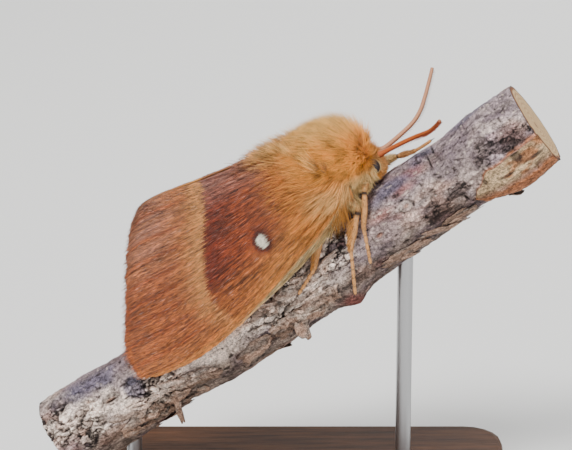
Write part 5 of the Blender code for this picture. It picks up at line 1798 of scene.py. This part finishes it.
class BuildPerch(Operator):
    """Branch with cracked bark, a peeled strip, leaf scars, loose flakes and sawn ends"""

    bl_idname = "moth.build_perch"
    bl_label = "Branch"

    def execute(self, context):
        sizes, paint = context.scene.moth_sizes, tints()
        rows, columns = sizes.bark_rows, sizes.bark_columns
        turn = np.linspace(-np.pi, np.pi, columns, endpoint=False)
        turn = turn - FACING_SHARE * np.sin(turn - FACING_SIDE)
        along, around = np.meshgrid(np.linspace(PERCH_REAR, PERCH_FRONT, rows), turn, indexing="ij")
        relief, tone, plates = bark(along, around, paint)
        surface = on_branch(along, around, relief)
        points = np.concatenate([surface.reshape(-1, 3), surface[[0, -1]].mean(1)])
        tones = np.concatenate([tone.reshape(-1, 3), [paint["cut_wood"]] * 2])
        finish = bark_material()
        piece = build_mesh("perch_bark", to_world(points, BRANCH_PITCH), tube_faces(rows, columns), tones)
        layer = piece.data.attributes.new(PLATES, "FLOAT", "POINT")
        layer.data.foreach_set("value", np.append(plates.ravel(), (0.0, 0.0)).astype(np.float32))
        finish_piece(piece, finish, ["perch"])
        finish_piece(bark_flakes("perch_flakes", paint, np.random.default_rng(SEED + 4)), finish)
        wood = chitin_material("sawn_wood", 0.75)
        for name, ring, outward in (("rear", surface[0], -1.0), ("front", surface[-1], 1.0)):
            finish_piece(sawn_end("perch_end_" + name, ring, turn, outward, paint), wood)
        return {"FINISHED"}


class BuildStand(Operator):
    """Wooden base and steel rods of the display stand"""

    bl_idname = "moth.build_stand"
    bl_label = "Stand"

    def execute(self, context):
        paint = tints()
        wood, steel = wood_material(paint), steel_material(paint)
        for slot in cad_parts["stand_base"].material_slots:
            slot.material = wood
        for name in ("stand_rod_rear", "stand_rod_front"):
            low, high = (np.array(corner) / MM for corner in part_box(name))
            centre, radius = (low + high) / 2, (high[0] - low[0]) / 2
            height = np.linspace(low[2] + ROD_CHAMFER, high[2] - ROD_CHAMFER, 30)
            height = np.concatenate([[low[2]], height, [high[2]]])
            path = np.stack([height * 0 + centre[0], height * 0 + centre[1], height], -1)
            wide = np.full(len(height), radius)
            wide[[0, -1]] = radius - ROD_CHAMFER
            points, faces = sweep(path, wide, wide, ROD_SIDES, (1.0, 0.0, 0.0))
            finish_piece(build_mesh(name + "_turned", points, faces), steel, [name])
        return {"FINISHED"}


class BuildStage(Operator):
    """Pale floor, soft lights and the camera"""

    bl_idname = "moth.build_stage"
    bl_label = "Stage"

    def execute(self, context):
        settings = context.scene.moth_stage
        self.floor(settings)
        world = bpy.data.worlds.new("studio")
        world.use_nodes = True
        sky = world.node_tree.nodes["Background"]
        sky.inputs["Color"].default_value = SKY_TINT
        sky.inputs["Strength"].default_value = settings.sky
        context.scene.world = world
        for name, place, size, power in LIGHTS:
            self.light(name, place, size, getattr(settings, power))
        self.camera(context)
        return {"FINISHED"}

    def floor(self, settings):
        """A flat floor that turns up a quarter of a circle at its back and goes on straight up."""
        reach = np.linspace(FLOOR_FRONT, FLOOR_BACK, FLOOR_ROWS)
        bend = np.clip((reach - FLOOR_TURN) / FLOOR_RADIUS, 0, np.pi / 2)
        wall = np.maximum(reach - FLOOR_TURN - FLOOR_RADIUS * np.pi / 2, 0)
        depth = np.minimum(reach, FLOOR_TURN) + FLOOR_RADIUS * np.sin(bend)
        height = FLOOR_RADIUS * (1 - np.cos(bend)) + wall
        wide, depth = np.meshgrid(np.linspace(-FLOOR_HALF, FLOOR_HALF, FLOOR_COLUMNS), depth)
        points = np.stack([wide, depth, height[:, None] + 0 * wide], -1).reshape(-1, 3)
        mesh = bpy.data.meshes.new("studio_floor")
        faces = grid_faces(FLOOR_ROWS, FLOOR_COLUMNS)[:, ::-1]
        mesh.from_pydata((points * MM).tolist(), [], faces.tolist())
        mesh.shade_smooth()
        floor = bpy.data.objects.new("studio_floor", mesh)
        bpy.context.scene.collection.objects.link(floor)
        shader = Shader("studio_floor", 0.9, Specular_IOR_Level=0.1)
        shader.surface.inputs["Base Color"].default_value = (*settings.floor, 1.0)
        mesh.materials.append(shader.material)

    def aim(self, obj, place):
        """Puts a light or camera at a place, looking at the view's target."""
        place = np.array(place, float)
        way = mathutils.Vector(VIEW_TARGET - place)
        obj.rotation_euler = way.to_track_quat("-Z", "Y").to_euler()
        obj.location = place * MM

    def light(self, name, place, size, power):
        """A square soft light."""
        data = bpy.data.lights.new(name, "AREA")
        data.shape = "SQUARE"
        data.size = size * MM
        data.energy = power
        obj = bpy.data.objects.new(name, data)
        bpy.context.scene.collection.objects.link(obj)
        self.aim(obj, place)

    def camera(self, context):
        """The photo's camera: a long lens that looks down at the branch from its elevation."""
        data = bpy.data.cameras.new("photo_camera")
        data.sensor_width = SENSOR
        data.lens = SENSOR * VIEW_DISTANCE / VIEW_WIDTH
        data.clip_start, data.clip_end = CLIP_START, CLIP_END
        obj = bpy.data.objects.new("photo_camera", data)
        context.scene.collection.objects.link(obj)
        rise = math.radians(VIEW_ELEVATION)
        self.aim(obj, VIEW_TARGET + VIEW_DISTANCE * np.array((0.0, -math.cos(rise), math.sin(rise))))
        context.scene.camera = obj


OPERATORS = (BuildWings, BuildBody, BuildCoat, BuildAntennae, BuildLegs, BuildPerch, BuildStand, BuildStage)


class MothPanel(Panel):
    """Sizes, colours and the steps that build the moth"""

    bl_idname = "VIEW3D_PT_moth"
    bl_label = "Oak Eggar Moth"
    bl_space_type = "VIEW_3D"
    bl_region_type = "UI"
    bl_category = "Moth"

    def draw(self, context):
        layout = self.layout
        for operator in OPERATORS:
            layout.operator(operator.bl_idname)
        for group in (context.scene.moth_sizes, context.scene.moth_colours, context.scene.moth_stage):
            box = layout.box()
            for name in type(group).__annotations__:
                box.prop(group, name)


CLASSES = (MothColours, MothSizes, StageSettings, *OPERATORS, MothPanel)


def register():
    """Registers the classes and hangs their settings on the scene."""
    for item in CLASSES:
        bpy.utils.register_class(item)
    bpy.types.Scene.moth_colours = PointerProperty(type=MothColours)
    bpy.types.Scene.moth_sizes = PointerProperty(type=MothSizes)
    bpy.types.Scene.moth_stage = PointerProperty(type=StageSettings)


def unregister():
    """Takes the settings and the classes away again."""
    del bpy.types.Scene.moth_stage
    del bpy.types.Scene.moth_sizes
    del bpy.types.Scene.moth_colours
    for item in reversed(CLASSES):
        bpy.utils.unregister_class(item)


def main():
    """Builds the moth, its branch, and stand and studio."""
    register()
    bpy.ops.moth.build_stage()
    bpy.ops.moth.build_wings()
    bpy.ops.moth.build_body()
    bpy.ops.moth.build_coat()
    bpy.ops.moth.build_antennae()
    bpy.ops.moth.build_legs()
    bpy.ops.moth.build_perch()
    bpy.ops.moth.build_stand()
    bpy.context.view_layer.update()


if __name__ == "__main__":
    main()
